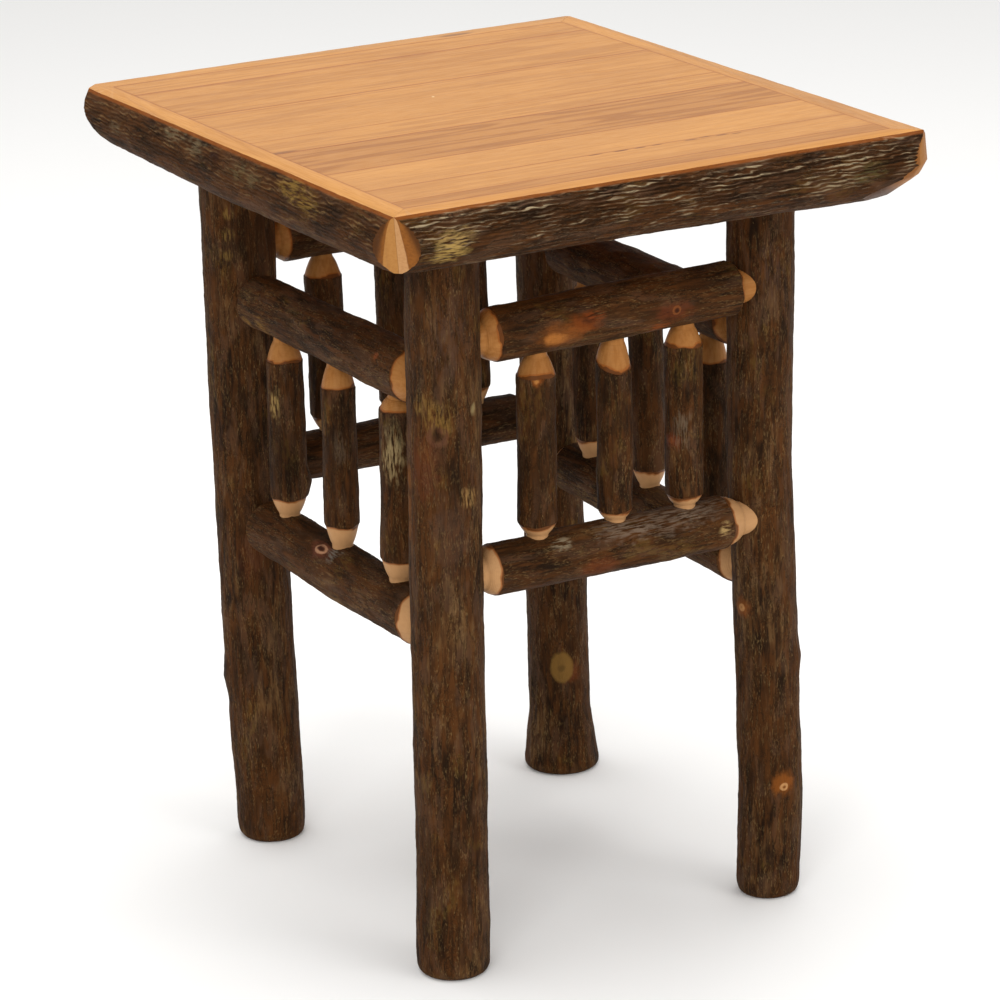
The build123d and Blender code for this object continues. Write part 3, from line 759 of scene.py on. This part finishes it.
def contour(tree, value, level, width):
    """A line along which a pattern crosses a level."""
    return fade(tree, apart(tree, value, level), width, width * 0.3)


def overlap(tree, *masks):
    """Where several masks overlap, each a pattern or a plain strength."""
    total = masks[0]
    for mask in masks[1:]:
        total = add(tree, "Math", (total, mask), operation="MULTIPLY")
    return total


def layered(tree, colour, layers):
    """Lays colours over a base one after the other, each by its mask and strength."""
    for mask, strength, tone in layers:
        colour = add(tree, "Mix", {0: overlap(tree, mask, strength), 6: colour, 7: tone}, 2, data_type="RGBA")
    return colour


def distance_from(tree, place, shape=(1, 1, 1)):
    """How far a point of a piece is from a place, with each axis weighed by its own factor."""
    scaled = add(tree, "VectorMath", (add(tree, "TexCoord", out="Object"), shape), operation="MULTIPLY")
    centre = [part * factor * MM for part, factor in zip(place, shape)]
    return add(tree, "VectorMath", (scaled, centre), "Value", operation="DISTANCE")


def height_over_floor(tree):
    return add(tree, "SeparateXYZ", (add(tree, "TexCoord", out="Object"),), "Z")


def patch_mask(tree, pattern, place, reach, look):
    """Where a patch shows: a soft blot, an oval, a ring, or shreds that follow the bark."""
    kind, axis = (look.split() + [""])[:2]
    fraying, squeeze, full, end = PATCH_LOOKS[kind]
    far = distance_from(tree, place, [squeeze if name == axis else 1 for name in "XYZ"])
    centred = add(tree, "Math", (pattern["rough"], 0.5), operation="SUBTRACT")
    far = add(tree, "Math", (centred, fraying * reach * MM, far), operation="MULTIPLY_ADD")
    if kind == "ring":
        return contour(tree, far, reach * 0.8 * MM, reach * 0.35 * MM)
    mask = fade(tree, far, reach * end * MM, reach * full * MM)
    return overlap(tree, mask, pattern["shreds"]) if kind == "shreds" else mask


def bark_patterns(tree, axis, seed):
    """The patterns of hickory bark that its colour and its bump share, each from nothing to one."""
    shift = (seed * 37.1, seed * 53.7, seed * 71.3)
    long_way, fine_way, square_way = [stretched(tree, axis, stretch, shift) for stretch in (7.0, 3.0, 1.4)]
    fissure = speckle(tree, long_way, 5.5, (), 2.5, 0.6)
    crack = contour(tree, speckle(tree, square_way, 3.2, (), 2.0, 0.8), 0.5, 0.035)
    grain = speckle(tree, fine_way, 0.9, (0.5, 0.66), 2.0)
    strand = speckle(tree, long_way, 0.8, (0.58, 0.66), 2.0)
    crumb = speckle(tree, fine_way, 2.4, (0.42, 0.56))
    return {
        "streak": speckle(tree, long_way, 3.4, (0.38, 0.62), 4.0, 0.5),
        "zone": speckle(tree, square_way, 46.0, (0.42, 0.64), 2.0),
        "plate": speckle(tree, fine_way, 11.0, (0.50, 0.60)),
        "fissures": contour(tree, fissure, 0.5, 0.032),
        "cracks": overlap(tree, crack, speckle(tree, square_way, 15.0, (0.45, 0.6))),
        "beads": overlap(tree, contour(tree, fissure, 0.52, 0.07), grain),
        "flecks": overlap(tree, strand, speckle(tree, square_way, 18.0, (0.45, 0.62))),
        "crust": overlap(tree, crumb, speckle(tree, square_way, 26.0, (0.58, 0.66), 4.0)),
        "shreds": speckle(tree, long_way, 1.5, (0.4, 0.58)),
        "bands": speckle(tree, long_way, 9.0, (0.44, 0.6), 2.0),
        "scales": speckle(tree, fine_way, 1.3, (), 4.0),
        "rough": speckle(tree, square_way, 5.0, (), 4.0),
    }


def bark_colour(tree, pattern, style, patches):
    """Colour of hickory bark from its patterns and the height of its skin, with patches of its own. Its height
    gives a painted highlight on the raised ridges and welts and painted shade in the furrows.
    """
    paint = colours()
    relief = add(tree, "Attribute", out="Fac", attribute_name="relief")
    # Painted light from the height of the skin: highlight where it stands high, shade where it lies low
    high, low = fade(tree, relief, 0.05, style["rise"]), fade(tree, relief, -0.1, -0.9)
    fleck = getattr(paint, style["fleck"])
    layers = [
        (pattern["streak"], 1.0, paint.bark_brown),
        (pattern["zone"], style["gold"], paint.bark_gold),
        (pattern["bands"], style["bands"], paint.bark_gold),
        (pattern["plate"], style["grey"], paint.bark_grey_and_highlight),
        (pattern["crust"], style["crust"], paint.lichen),
        # Painted highlight on the raised bark, in the plate grey and in the fleck colour
        (high, style["ridge"], paint.bark_grey_and_highlight),
        (overlap(tree, high, pattern["streak"]), style["ridge"], fleck),
        (pattern["beads"], style["beads"], fleck),
        (pattern["flecks"], style["beads"], fleck),
        # Painted shade where the skin lies low in the furrows
        (low, style["low"], paint.bark_dark),
        (pattern["fissures"], style["low"], paint.bark_dark),
        (pattern["cracks"], 0.45, paint.bark_dark),
    ]
    for place, reach, strength, code, look in patches:
        layers.append((patch_mask(tree, pattern, place, reach, look), strength, linear(code)))
    return layered(tree, paint.bark_dark, layers)


def bark_bump(tree, pattern):
    """Fine scales, beads and hair cracks that are too small for the mesh."""
    height = pattern["scales"]
    for name, rise in (("beads", 0.35), ("flecks", 0.25), ("fissures", -0.8), ("cracks", -0.6)):
        height = add(tree, "Math", (pattern[name], rise, height), operation="MULTIPLY_ADD")
    return add(tree, "Bump", {"Strength": 0.8, "Distance": 0.00045, "Height": height})


def stick_material(node, axis, seed):
    """Bark-on hickory, lacquered: dark ridged bark with silvery flecks, and bare sapwood on the points.

    The eye sees a dull satin bark that breaks up into ridges and plates, a thin orange line of inner
    bark at its edge, and pale wood with the rings that the pointing tool left.
    """
    paint = colours()
    material, tree, shader = new_material(f"bark_of_{node}")
    bare = add(tree, "Attribute", out="Fac", attribute_name="bare")
    pattern = bark_patterns(tree, axis, seed)
    bark = bark_colour(tree, pattern, STYLE, PATCHES.get(node, ()))
    shift = (seed * 19.0, seed * 7.0, seed * 3.0)
    grain = speckle(tree, stretched(tree, axis, 8.0, shift), 2.2, (0.35, 0.7))
    blush = speckle(tree, stretched(tree, axis, 1.0, shift), 16.0, (0.42, 0.62), 2.0)
    wander = add(tree, "Math", (blush, -2.2, bare), operation="MULTIPLY_ADD")
    palest = fade(tree, height_over_floor(tree), PALE_BELOW[0] * MM, PALE_BELOW[1] * MM)
    wood = layered(
        tree,
        paint.point_wood,
        [
            (grain, 0.45, paint.point_warm),
            (blush, 0.3, paint.point_warm),
            (palest, 0.5, paint.point_pale),
            (fade(tree, wander, 2.4, 1.0), 0.75, paint.inner_bark),
            (fade(tree, wander, 0.9, 0.3), 0.8, linear("4a2811")),
        ],
    )
    edge = fade(tree, bare, -0.15, 0.35)
    dull = add(tree, "MapRange", {"Value": pattern["rough"], "To Min": 0.62, "To Max": 0.85})
    satin = add(tree, "MapRange", {"Value": grain, "To Min": 0.36, "To Max": 0.46})
    rough = add(tree, "Mix", {0: edge, 2: dull, 3: satin})
    angle = add(tree, "Math", (bare, 2 * math.pi / TOOL_RING_SPACING), operation="MULTIPLY")
    rings = overlap(tree, add(tree, "Math", (angle,), operation="SINE"), edge)
    cut = {"Strength": 0.25, "Distance": 0.0002, "Height": rings}
    over_bark, over_wood = add(tree, "Bump", dict(cut, Normal=bark_bump(tree, pattern))), add(tree, "Bump", cut)
    normal = add(tree, "Mix", {0: edge, 4: over_bark, 5: over_wood}, 1, data_type="VECTOR")
    coat(tree, shader, layered(tree, bark, [(edge, 1.0, wood)]), rough, normal, 0.1, WARM_SHEEN)
    return material


def edge_bark_material(node, axis, seed, style):
    """Lacquered hickory bark on a half log, with an orange line of inner bark under the planed face."""
    material, tree, shader = new_material(f"bark_of_{node}")
    pattern = bark_patterns(tree, axis, seed)
    bark = bark_colour(tree, pattern, style, PATCHES.get(node, ()))
    line = fade(tree, height_over_floor(tree), (TABLE_HEIGHT - 2.6) * MM, (TABLE_HEIGHT - 1.2) * MM)
    colour = layered(tree, bark, [(line, 0.65, colours().inner_bark)])
    dull = add(tree, "MapRange", {"Value": pattern["rough"], "To Min": 0.66, "To Max": 0.88})
    coat(tree, shader, colour, dull, bark_bump(tree, pattern), 0.1, WARM_SHEEN)
    return material


def planed_material(name, seed, tone, figure, joints=(), axis="X", marks=()):
    """Planed hickory under satin lacquer: honey-tan boards with open pores and cathedral figure.

    The eye sees nested darker lines of latewood, short dark pore lines, a dark hairline with a warm
    shade beside it at each glued joint, and a soft sheen.
    """
    paint = colours()
    material, tree, shader = new_material(name)
    shift = (seed * 91.0, seed * 47.0, seed * 29.0)
    long_way = stretched(tree, axis, 15.0, shift)
    field = speckle(tree, long_way, 30.0, (), 1.5, 0.3)
    lines = add(tree, "Math", (overlap(tree, field, 46.0),), operation="SINE")
    grain = speckle(tree, long_way, 1.3, (0.35, 0.72))
    streaks = speckle(tree, stretched(tree, axis, 18.0, shift), 0.6, (0.6, 0.7), 2.0)
    pores = overlap(tree, streaks, speckle(tree, long_way, 14.0, (0.4, 0.6)))
    blush = speckle(tree, stretched(tree, axis, 4.0, shift), 30.0, (0.4, 0.65), 2.0)
    layers = [
        (tone, 1.0, paint.top_dark),
        (fade(tree, lines, 0.1, 0.95), figure, paint.top_dark),
        (grain, 0.2, paint.top_dark),
        (blush, 0.16, paint.point_warm),
        (pores, 0.4, linear("7d4a1e")),
    ]
    for direction, place, width, strength in joints:
        where = add(tree, "SeparateXYZ", (add(tree, "TexCoord", out="Object"),), direction)
        off = apart(tree, where, place * MM)
        layers.append((fade(tree, off, width * 6 * MM, 0.0), strength * 0.35, linear("a0601f")))
        layers.append((fade(tree, off, width * 1.3 * MM, width * 0.3 * MM), strength, linear("85481a")))
    for x, y, reach, strength, code, look in marks:
        far = distance_from(tree, (x, y, TABLE_HEIGHT), (0.22, 1, 1) if look == "dash" else (1, 1, 1))
        layers.append((fade(tree, far, reach * 1.2 * MM, reach * 0.6 * MM), strength, linear(code)))
    rough = add(tree, "MapRange", {"Value": grain, "To Min": 0.36, "To Max": 0.46})
    bump = add(tree, "Bump", {"Strength": 0.2, "Distance": 0.0002, "Height": pores}, invert=True)
    coat(tree, shader, layered(tree, paint.top_wood, layers), rough, bump, 0.22)
    return material


def corner_material(side, log, seed):
    """Sanded corner of a half log: pale sapwood where the cut is deep, orange inner bark where it is not.

    The corner in front on the left is cut so deep that a lens of pale wood shows, which widens
    downwards. The one in front on the right is sanded to tan wood down to its heel.
    """
    paint = colours()
    material, tree, shader = new_material(f"sanded_{side}_edge_log")
    across = [0 if abs(part) > 0.5 else 1 for part in log.along]
    off_axis = distance_from(tree, log.at(log.length / 2)[0], across)
    wobble = speckle(tree, stretched(tree, "Z", 2.0, (seed * 3.0, 0, 0)), 7.0)
    shaken = add(tree, "Math", (wobble, 2.4 * MM, off_axis), operation="MULTIPLY_ADD")
    front_left, front_right = [Vector((x / 2, -TOP_DEPTH / 2, TABLE_HEIGHT)) for x in (-TOP_WIDTH, TOP_WIDTH)]
    away = distance_from(tree, front_left)
    shallow, close = fade(tree, away, 70 * MM, 80 * MM), fade(tree, away, 80 * MM, 70 * MM)
    tan = fade(tree, distance_from(tree, front_right), 56 * MM, 38 * MM)
    point = add(tree, "TexCoord", out="Object")
    inward = add(tree, "VectorMath", (point, front_left * MM), operation="SUBTRACT")
    sideways, below = [
        add(tree, "VectorMath", (inward, Vector(way) / MM), "Value", operation="DOT_PRODUCT")
        for way in ((math.sqrt(0.5), -math.sqrt(0.5), 0), (0, 0, -1))
    ]
    depth = add(tree, "Math", (below, 0.05), operation="MAXIMUM")
    ratio = add(tree, "Math", (sideways, add(tree, "Math", (depth,), operation="SQRT")), operation="DIVIDE")
    spread = add(tree, "Math", (wobble, 0.5, ratio), operation="MULTIPLY_ADD")

    def lens(middle, half, soft):
        """A lens whose sides stand apart by the root of the depth, given for a depth of a millimetre."""
        return overlap(tree, close, fade(tree, apart(tree, spread, middle + 0.25), half + soft, half - soft))

    skin = add(tree, "Math", (shallow, 2.6 * MM, shaken), operation="MULTIPLY_ADD")

    def outside(start, end):
        """Wood further out than two distances from the pale core."""
        return fade(tree, skin, PALE_CORE + start * MM, PALE_CORE + end * MM)

    axis = "X" if side in ALONG_X else "Y"
    grain = speckle(tree, stretched(tree, axis, 9.0, (seed, 0, 0)), 1.6, (0.35, 0.7))
    streak = speckle(tree, stretched(tree, axis, 5.0, (seed, 5.0, 0)), 1.8, (0.4, 0.65))
    pale = layered(tree, linear("a5733d" if side == "left" else "b18356"), [(grain, 0.2, paint.point_warm)])
    layers = [
        (streak, 0.4, linear("633817")),
        (overlap(tree, shallow, outside(1.0, 3.4)), 0.8, linear("502c12")),
        (overlap(tree, shallow, outside(3.2, 5.0)), 0.8, linear("3f240f")),
        (tan, 0.8, linear("a06c38")),
        (overlap(tree, tan, outside(4.8, 7.2)), 0.7, linear("6e3f18")),
        (close, 0.9, paint.bark_brown),
        (lens(0.25, 2.75, 0.5), 0.6, linear("87511f")),
        (lens(0.1, 2.3, 0.4), 0.7, linear("87511f")),
        (overlap(tree, close, streak), 0.35, linear("5b3314")),
        (lens(-0.325, 1.6, 0.2), 0.6, linear("5b3314")),
        (lens(-0.325, 1.52, 0.1), 1.0, pale),
    ]
    rough = add(tree, "MapRange", {"Value": grain, "To Min": 0.5, "To Max": 0.62})
    bump = add(tree, "Bump", {"Strength": 0.2, "Distance": 0.0002, "Height": streak})
    coat(tree, shader, layered(tree, linear("7d4a1e"), layers), rough, bump, 0.12, WARM_SHEEN)
    return material


def zinc_material():
    """Zinc-plated steel: a soft grey metal with slight blotches."""
    material, tree, shader = new_material("zinc_plated_steel")
    zinc = colours().zinc
    blotch = speckle(tree, stretched(tree, "Z", 1.0), 1.5, (0.3, 0.7))
    rough = add(tree, "MapRange", {"Value": blotch, "To Min": 0.28, "To Max": 0.45})
    bump = add(tree, "Bump", {"Strength": 0.1, "Distance": 0.0001, "Height": blotch})
    coat(tree, shader, layered(tree, zinc, [(blotch, 1.0, [part * 0.7 for part in zinc])]), rough, bump, 0.5)
    shader.inputs["Metallic"].default_value = 1.0
    return material


def dress(node, material):
    """Gives a node of the table its material."""
    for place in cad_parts[node].material_slots:
        place.material = material


# ---- Operators ----


class TABLE_OT_legs(bpy.types.Operator):
    """Grow the four bark-on legs"""

    bl_idname = "table.legs"
    bl_label = "Legs"

    def execute(self, context):
        sides, step = LEG_SPACING
        for seed, (name, log) in enumerate(leg_logs().items(), start=1):
            foot, top = log.at(0)[1], log.at(LEG_TOP)[1]
            # The foot is rounded over, and the top steps in to its tenon
            rings = [(0.0, foot - 6.0), (0.0, foot - 5.0), (1.4, foot - 2.4), (4.6, foot - 0.5)]
            rings += [(up, log.at(up)[1]) for up in steps_between(2.0, LEG_TOP - 1.0, step)[1:]]
            rings += [(LEG_TOP - 0.6, top), (LEG_TOP, top - 0.7), (LEG_TOP, LEG_TENON_RADIUS + 0.6)]
            rings += [(LEG_TOP + 0.6, LEG_TENON_RADIUS), (LEG_TOP + CLEAT_THICKNESS - 0.2, LEG_TENON_RADIUS)]
            node = f"leg_{name}"
            piece = grow(f"{node}_log", log, rings, sides)
            ups = distances(piece, log)
            weigh(piece, "bark", [clamped((up - 0.5) / 6) * clamped((LEG_TOP - up) / 6) for up in ups])
            smooth(piece)
            remember(piece, "bare", [-20.0] * len(piece.data.vertices))  # far inside the bark
            barked(piece, node, log, seed)
            finish_piece(piece, node, [stick_material(node, "Z", seed)])
        return {"FINISHED"}


class TABLE_OT_rails(bpy.types.Operator):
    """Turn the eight rails, each with a pencil point at both ends"""

    bl_idname = "table.rails"
    bl_label = "Rails"

    def execute(self, context):
        for seed, (name, (log, marks)) in enumerate(rail_logs(leg_logs()).items(), start=11):
            axis = "X" if name.startswith(ALONG_X) else "Y"
            make_stick(f"{name}_rail", axis, log, marks, RAIL_TENON, RAIL_SPACING, seed)
        return {"FINISHED"}


class TABLE_OT_spindles(bpy.types.Operator):
    """Turn the twelve short spindles between the rails"""

    bl_idname = "table.spindles"
    bl_label = "Spindles"

    def execute(self, context):
        found = spindle_logs(rail_logs(leg_logs()))
        for seed, (key, (log, marks)) in enumerate(found.items(), start=31):
            node, slanted = "{}_spindle_{}".format(*key), key == SLANTED_SPINDLE
            make_stick(node, "Z", log, marks, SPINDLE_TENON, SPINDLE_SPACING, seed, slanted)
        return {"FINISHED"}


class TABLE_OT_edge_logs(bpy.types.Operator):
    """Split and mitre the four half logs round the top"""

    bl_idname = "table.edge_logs"
    bl_label = "Edge Logs"

    def execute(self, context):
        for seed, side in enumerate(SIDES, start=51):
            self.make(side, seed)
        return {"FINISHED"}

    def make(self, side, seed):
        node = f"{side}_edge_log"
        along_x = side in ALONG_X
        sign = 1 if side in ("back", "right") else -1
        outward = Vector((0, sign, 0)) if along_x else Vector((sign, 0, 0))
        log = self.log(side, along_x, sign, outward)
        sides, step = EDGE_LOG_SPACING
        rings = [0.0] + steps_between(0.0, log.length, step) + [log.length]
        piece = grow(f"{node}_half", log, [(way, log.at(way)[1] - EDGE_BARK_DEPTH) for way in rings], sides)
        ups = [corner.co.z / MM - (TABLE_HEIGHT - EDGE_LOG_DROP) for corner in piece.data.vertices]
        calm = 0.75 if side == "left" else 1.0
        weigh(piece, "bark", [clamped((23 - up) / 8, 0.4) for up in ups])
        weigh(piece, "welts", [calm * clamped(0.75 + up / 22, 0.2) * clamped((21 - up) / 7, 0.2) for up in ups])
        smooth(piece)
        barked(piece, node, log, seed, 0.8, 0.5, self.welt_frame(log, seed))
        cuts = self.cuts(along_x, sign, outward)
        keep_only(piece)
        bpy.ops.object.mode_set(mode="EDIT")
        for place, normal in cuts:
            bpy.ops.mesh.select_all(action="SELECT")
            bpy.ops.mesh.bisect(
                plane_co=place,
                plane_no=normal,
                use_fill=True,
                clear_inner=False,
                clear_outer=True,
                threshold=0.000001,
            )
        bpy.ops.object.mode_set(mode="OBJECT")
        seam = (SEAM_Y if along_x else SEAM_X) * sign
        joints = [("Y" if along_x else "X", seam, JOINT_WIDTH, 0.5)]
        axis = "X" if along_x else "Y"
        marks = TOP_MARKS if side == "back" else ()
        bark = edge_bark_material(node, axis, seed, CALM_EDGE_STYLE if side == "left" else EDGE_STYLE)
        planed = planed_material(f"planed_{node}", seed, 0.0, 0.2, joints, axis, marks)
        finish_piece(piece, node, [bark, planed, corner_material(side, log, seed)])
        for face in piece.data.polygons:
            for number, (place, normal) in enumerate(cuts):
                if face.normal.dot(normal) > 0.99 and abs((face.center - place).dot(normal)) < 0.15 * MM:
                    face.material_index = 1 if number == 0 else 2
                    break

    def log(self, side, along_x, sign, outward):
        """The log of one side. Its stations run from right to left as seen from outside."""
        axis = sign * ((TOP_DEPTH if along_x else TOP_WIDTH) / 2 - EDGE_AXIS_INSET)
        reach = (SEAM_X if along_x else SEAM_Y) + CORNER_REACH
        start = reach if side in ("front", "right") else -reach
        ends = [
            (way, axis, TABLE_HEIGHT - EDGE_LOG_DROP) if along_x else (axis, way, TABLE_HEIGHT - EDGE_LOG_DROP)
            for way in (start, -start)
        ]
        log = Log(*ends, EDGE_LOG_STATIONS[side], outward)
        upright = 1 if log.upwards.z > 0 else -1
        log.stations = [(share, radius, (out, up * upright)) for share, radius, (out, up) in log.stations]
        return log

    def cuts(self, along_x, sign, outward):
        """Planes that cut a half log, as (place, normal): its planed face first, seam, mitres and corners."""
        seam = sign * ((SEAM_Y if along_x else SEAM_X) + SEAM_GAP)
        found = [((0, 0, TABLE_HEIGHT - TOP_GAP), (0, 0, 1))]
        found.append(((0, seam, 0) if along_x else (seam, 0, 0), -outward))
        corners = ((1, sign), (-1, sign)) if along_x else ((sign, 1), (sign, -1))
        for corner_x, corner_y in corners:
            mitre = Vector((corner_x, -corner_y, 0)) if along_x else Vector((-corner_x, corner_y, 0))
            found.append((Vector((corner_x * SEAM_X, corner_y * SEAM_Y, 0)) - mitre * MITRE_GAP, mitre))
        for corner_x, corner_y in corners:
            found += self.corner_cuts(corner_x, corner_y, along_x)
        return [(Vector(place) * MM, Vector(normal).normalized()) for place, normal in found]

    def corner_cuts(self, corner_x, corner_y, along_x):
        """Planes that round the end of a log at a corner and take off its heel, as a belt sander would."""
        clipped, headings, outline = CORNERS[corner_x, corner_y]
        diagonal = Vector((corner_x, corner_y, 0)).normalized()
        bulge = EDGE_LOG_RADIUS - EDGE_AXIS_INSET
        rounding = (clipped + bulge * math.sqrt(2)) / (math.sqrt(2) - 1)
        corner = Vector((corner_x * TOP_WIDTH / 2, corner_y * TOP_DEPTH / 2, TABLE_HEIGHT))
        centre = corner - diagonal * (clipped + rounding)
        own_side = 1 if along_x == (corner_x * corner_y > 0) else -1
        found = []
        for heading in headings:
            out = Matrix.Rotation(math.radians(heading) * own_side, 3, "Z") @ diagonal
            for (above, start), (below, end) in zip(outline, outline[1:]):
                facing = out * (end - start) + Vector((0, 0, below - above))
                found.append((centre + out * (rounding + above) - Vector((0, 0, start)), facing))
        return found

    def welt_frame(self, log, seed):
        """A slanted frame whose three axes add up to the height over the log, so that welts run along it."""
        spacing = sizes().welt_spacing * 10 / (2 * math.pi)
        along = log.along / (3.2 * spacing)
        out = log.sideways / (2.5 * spacing)
        up = Vector((0, 0, 1)) / spacing - along - out
        rows = [(*row, seed * step) for row, step in zip((along, out, up), (0.31, 0.73, 0.57))]
        return Matrix(rows + [(0, 0, 0, 1)]).inverted()


class TABLE_OT_planks(bpy.types.Operator):
    """Finish the eight planks of the top"""

    bl_idname = "table.planks"
    bl_label = "Planks"

    def execute(self, context):
        total = sum(PLANK_PROPORTIONS)
        edge, last = -SEAM_Y, 0.8  # where the first board starts, and how strong the joint there is
        for number, (proportion, look) in enumerate(zip(PLANK_PROPORTIONS, PLANK_LOOKS), start=1):
            tone, figure, joint = look
            after = edge + 2 * SEAM_Y * proportion / total
            joints = [("Y", edge, JOINT_WIDTH, last), ("Y", after, JOINT_WIDTH, joint)]
            joints += [("X", seam, JOINT_WIDTH, 0.5) for seam in (-SEAM_X, SEAM_X)]
            if number in SECOND_LINES:
                joints.append(("Y", after - SECOND_LINES[number], 0.6, 0.5))
            name = f"planed_hickory_{number}"
            material = planed_material(name, number * 1.7, tone, figure, joints, "X", TOP_MARKS)
            dress(f"top_plank_{number}", material)
            edge, last = after, joint
        return {"FINISHED"}


class TABLE_OT_underside(bpy.types.Operator):
    """Finish the cleats, splines and screws that hold the top"""

    bl_idname = "table.underside"
    bl_label = "Underside"

    def execute(self, context):
        rough_sawn = planed_material("rough_sawn_hickory", 5.5, 0.2, 0.4, axis="Y")
        for node in ("left_cleat", "right_cleat", "front_spline", "back_spline", "left_spline", "right_spline"):
            dress(node, rough_sawn)
        dress("cleat_screws", zinc_material())
        return {"FINISHED"}


class TABLE_OT_stage(bpy.types.Operator):
    """Set the pale floor, the soft lights and the camera"""

    bl_idname = "table.stage"
    bl_label = "Stage"

    def execute(self, context):
        self.floor()
        self.lights()
        self.camera()
        return {"FINISHED"}

    def floor(self):
        pick_nothing()
        bpy.ops.mesh.primitive_plane_add(size=sizes().floor_width)
        floor = bpy.context.object
        floor.name = "floor"
        bpy.ops.object.transform_apply(location=True, rotation=True, scale=True)
        material, _, shader = new_material("matt_paper_floor")
        shader.inputs["Base Color"].default_value = (*colours().floor, 1)
        shader.inputs["Roughness"].default_value = 0.9
        floor.data.materials.append(material)

    def lights(self):
        world = bpy.data.worlds.new("studio")
        bpy.context.scene.world = world
        world.use_nodes = True
        back = world.node_tree.nodes["Background"]
        back.inputs[0].default_value = (1, 1, 1, 1)
        back.inputs[1].default_value = WORLD_STRENGTH
        for name, place, size, power in LIGHTS:
            pick_nothing()
            aim = (Vector(LIGHT_TARGET) - Vector(place)).to_track_quat("-Z", "Y").to_euler()
            bpy.ops.object.light_add(type="AREA", location=place, rotation=aim)
            lamp = bpy.context.object
            lamp.name = name
            lamp.data.shape = "SQUARE"
            lamp.data.size = size
            lamp.data.energy = power

    def camera(self):
        turn, lift, roll = [math.radians(angle) for angle in CAMERA_ANGLES]
        back = Vector((math.sin(turn) * math.cos(lift), -math.cos(turn) * math.cos(lift), math.sin(lift)))
        right = Vector((math.cos(turn), math.sin(turn), 0))
        up = back.cross(right)
        level = math.cos(roll) * right + math.sin(roll) * up
        upright = -math.sin(roll) * right + math.cos(roll) * up
        pick_nothing()
        bpy.ops.object.camera_add(location=Vector(CAMERA_TARGET) + back * CAMERA_DISTANCE)
        camera = bpy.context.object
        axes = Matrix((level, upright, back)).transposed().to_4x4()
        camera.matrix_world = Matrix.Translation(camera.location) @ axes
        camera.data.lens = CAMERA_LENS
        camera.data.sensor_width = 36.0
        camera.data.clip_start, camera.data.clip_end = 0.05, 100.0
        bpy.context.scene.camera = camera
        bpy.context.scene.view_settings.view_transform = "Standard"


STEPS = (
    TABLE_OT_stage,
    TABLE_OT_legs,
    TABLE_OT_rails,
    TABLE_OT_spindles,
    TABLE_OT_edge_logs,
    TABLE_OT_planks,
    TABLE_OT_underside,
)


class TABLE_PT_panel(bpy.types.Panel):
    bl_label = "Rustic Hickory Table"
    bl_idname = "TABLE_PT_panel"
    bl_space_type = "VIEW_3D"
    bl_region_type = "UI"
    bl_category = "Table"

    def draw(self, context):
        for operator in STEPS:
            self.layout.operator(operator.bl_idname)
        for group in (context.scene.table_sizes, context.scene.table_colours):
            for name in group.__annotations__:
                self.layout.prop(group, name)


CLASSES = (TABLE_PG_sizes, TABLE_PG_colours) + STEPS + (TABLE_PT_panel,)


def register():
    for item in CLASSES:
        bpy.utils.register_class(item)
    bpy.types.Scene.table_sizes = bpy.props.PointerProperty(type=TABLE_PG_sizes)
    bpy.types.Scene.table_colours = bpy.props.PointerProperty(type=TABLE_PG_colours)


def unregister():
    del bpy.types.Scene.table_sizes
    del bpy.types.Scene.table_colours
    for item in reversed(CLASSES):
        bpy.utils.unregister_class(item)


def main():
    register()
    for step in STEPS:
        getattr(bpy.ops.table, step.bl_idname.split(".")[1])()


if __name__ == "__main__":
    main()
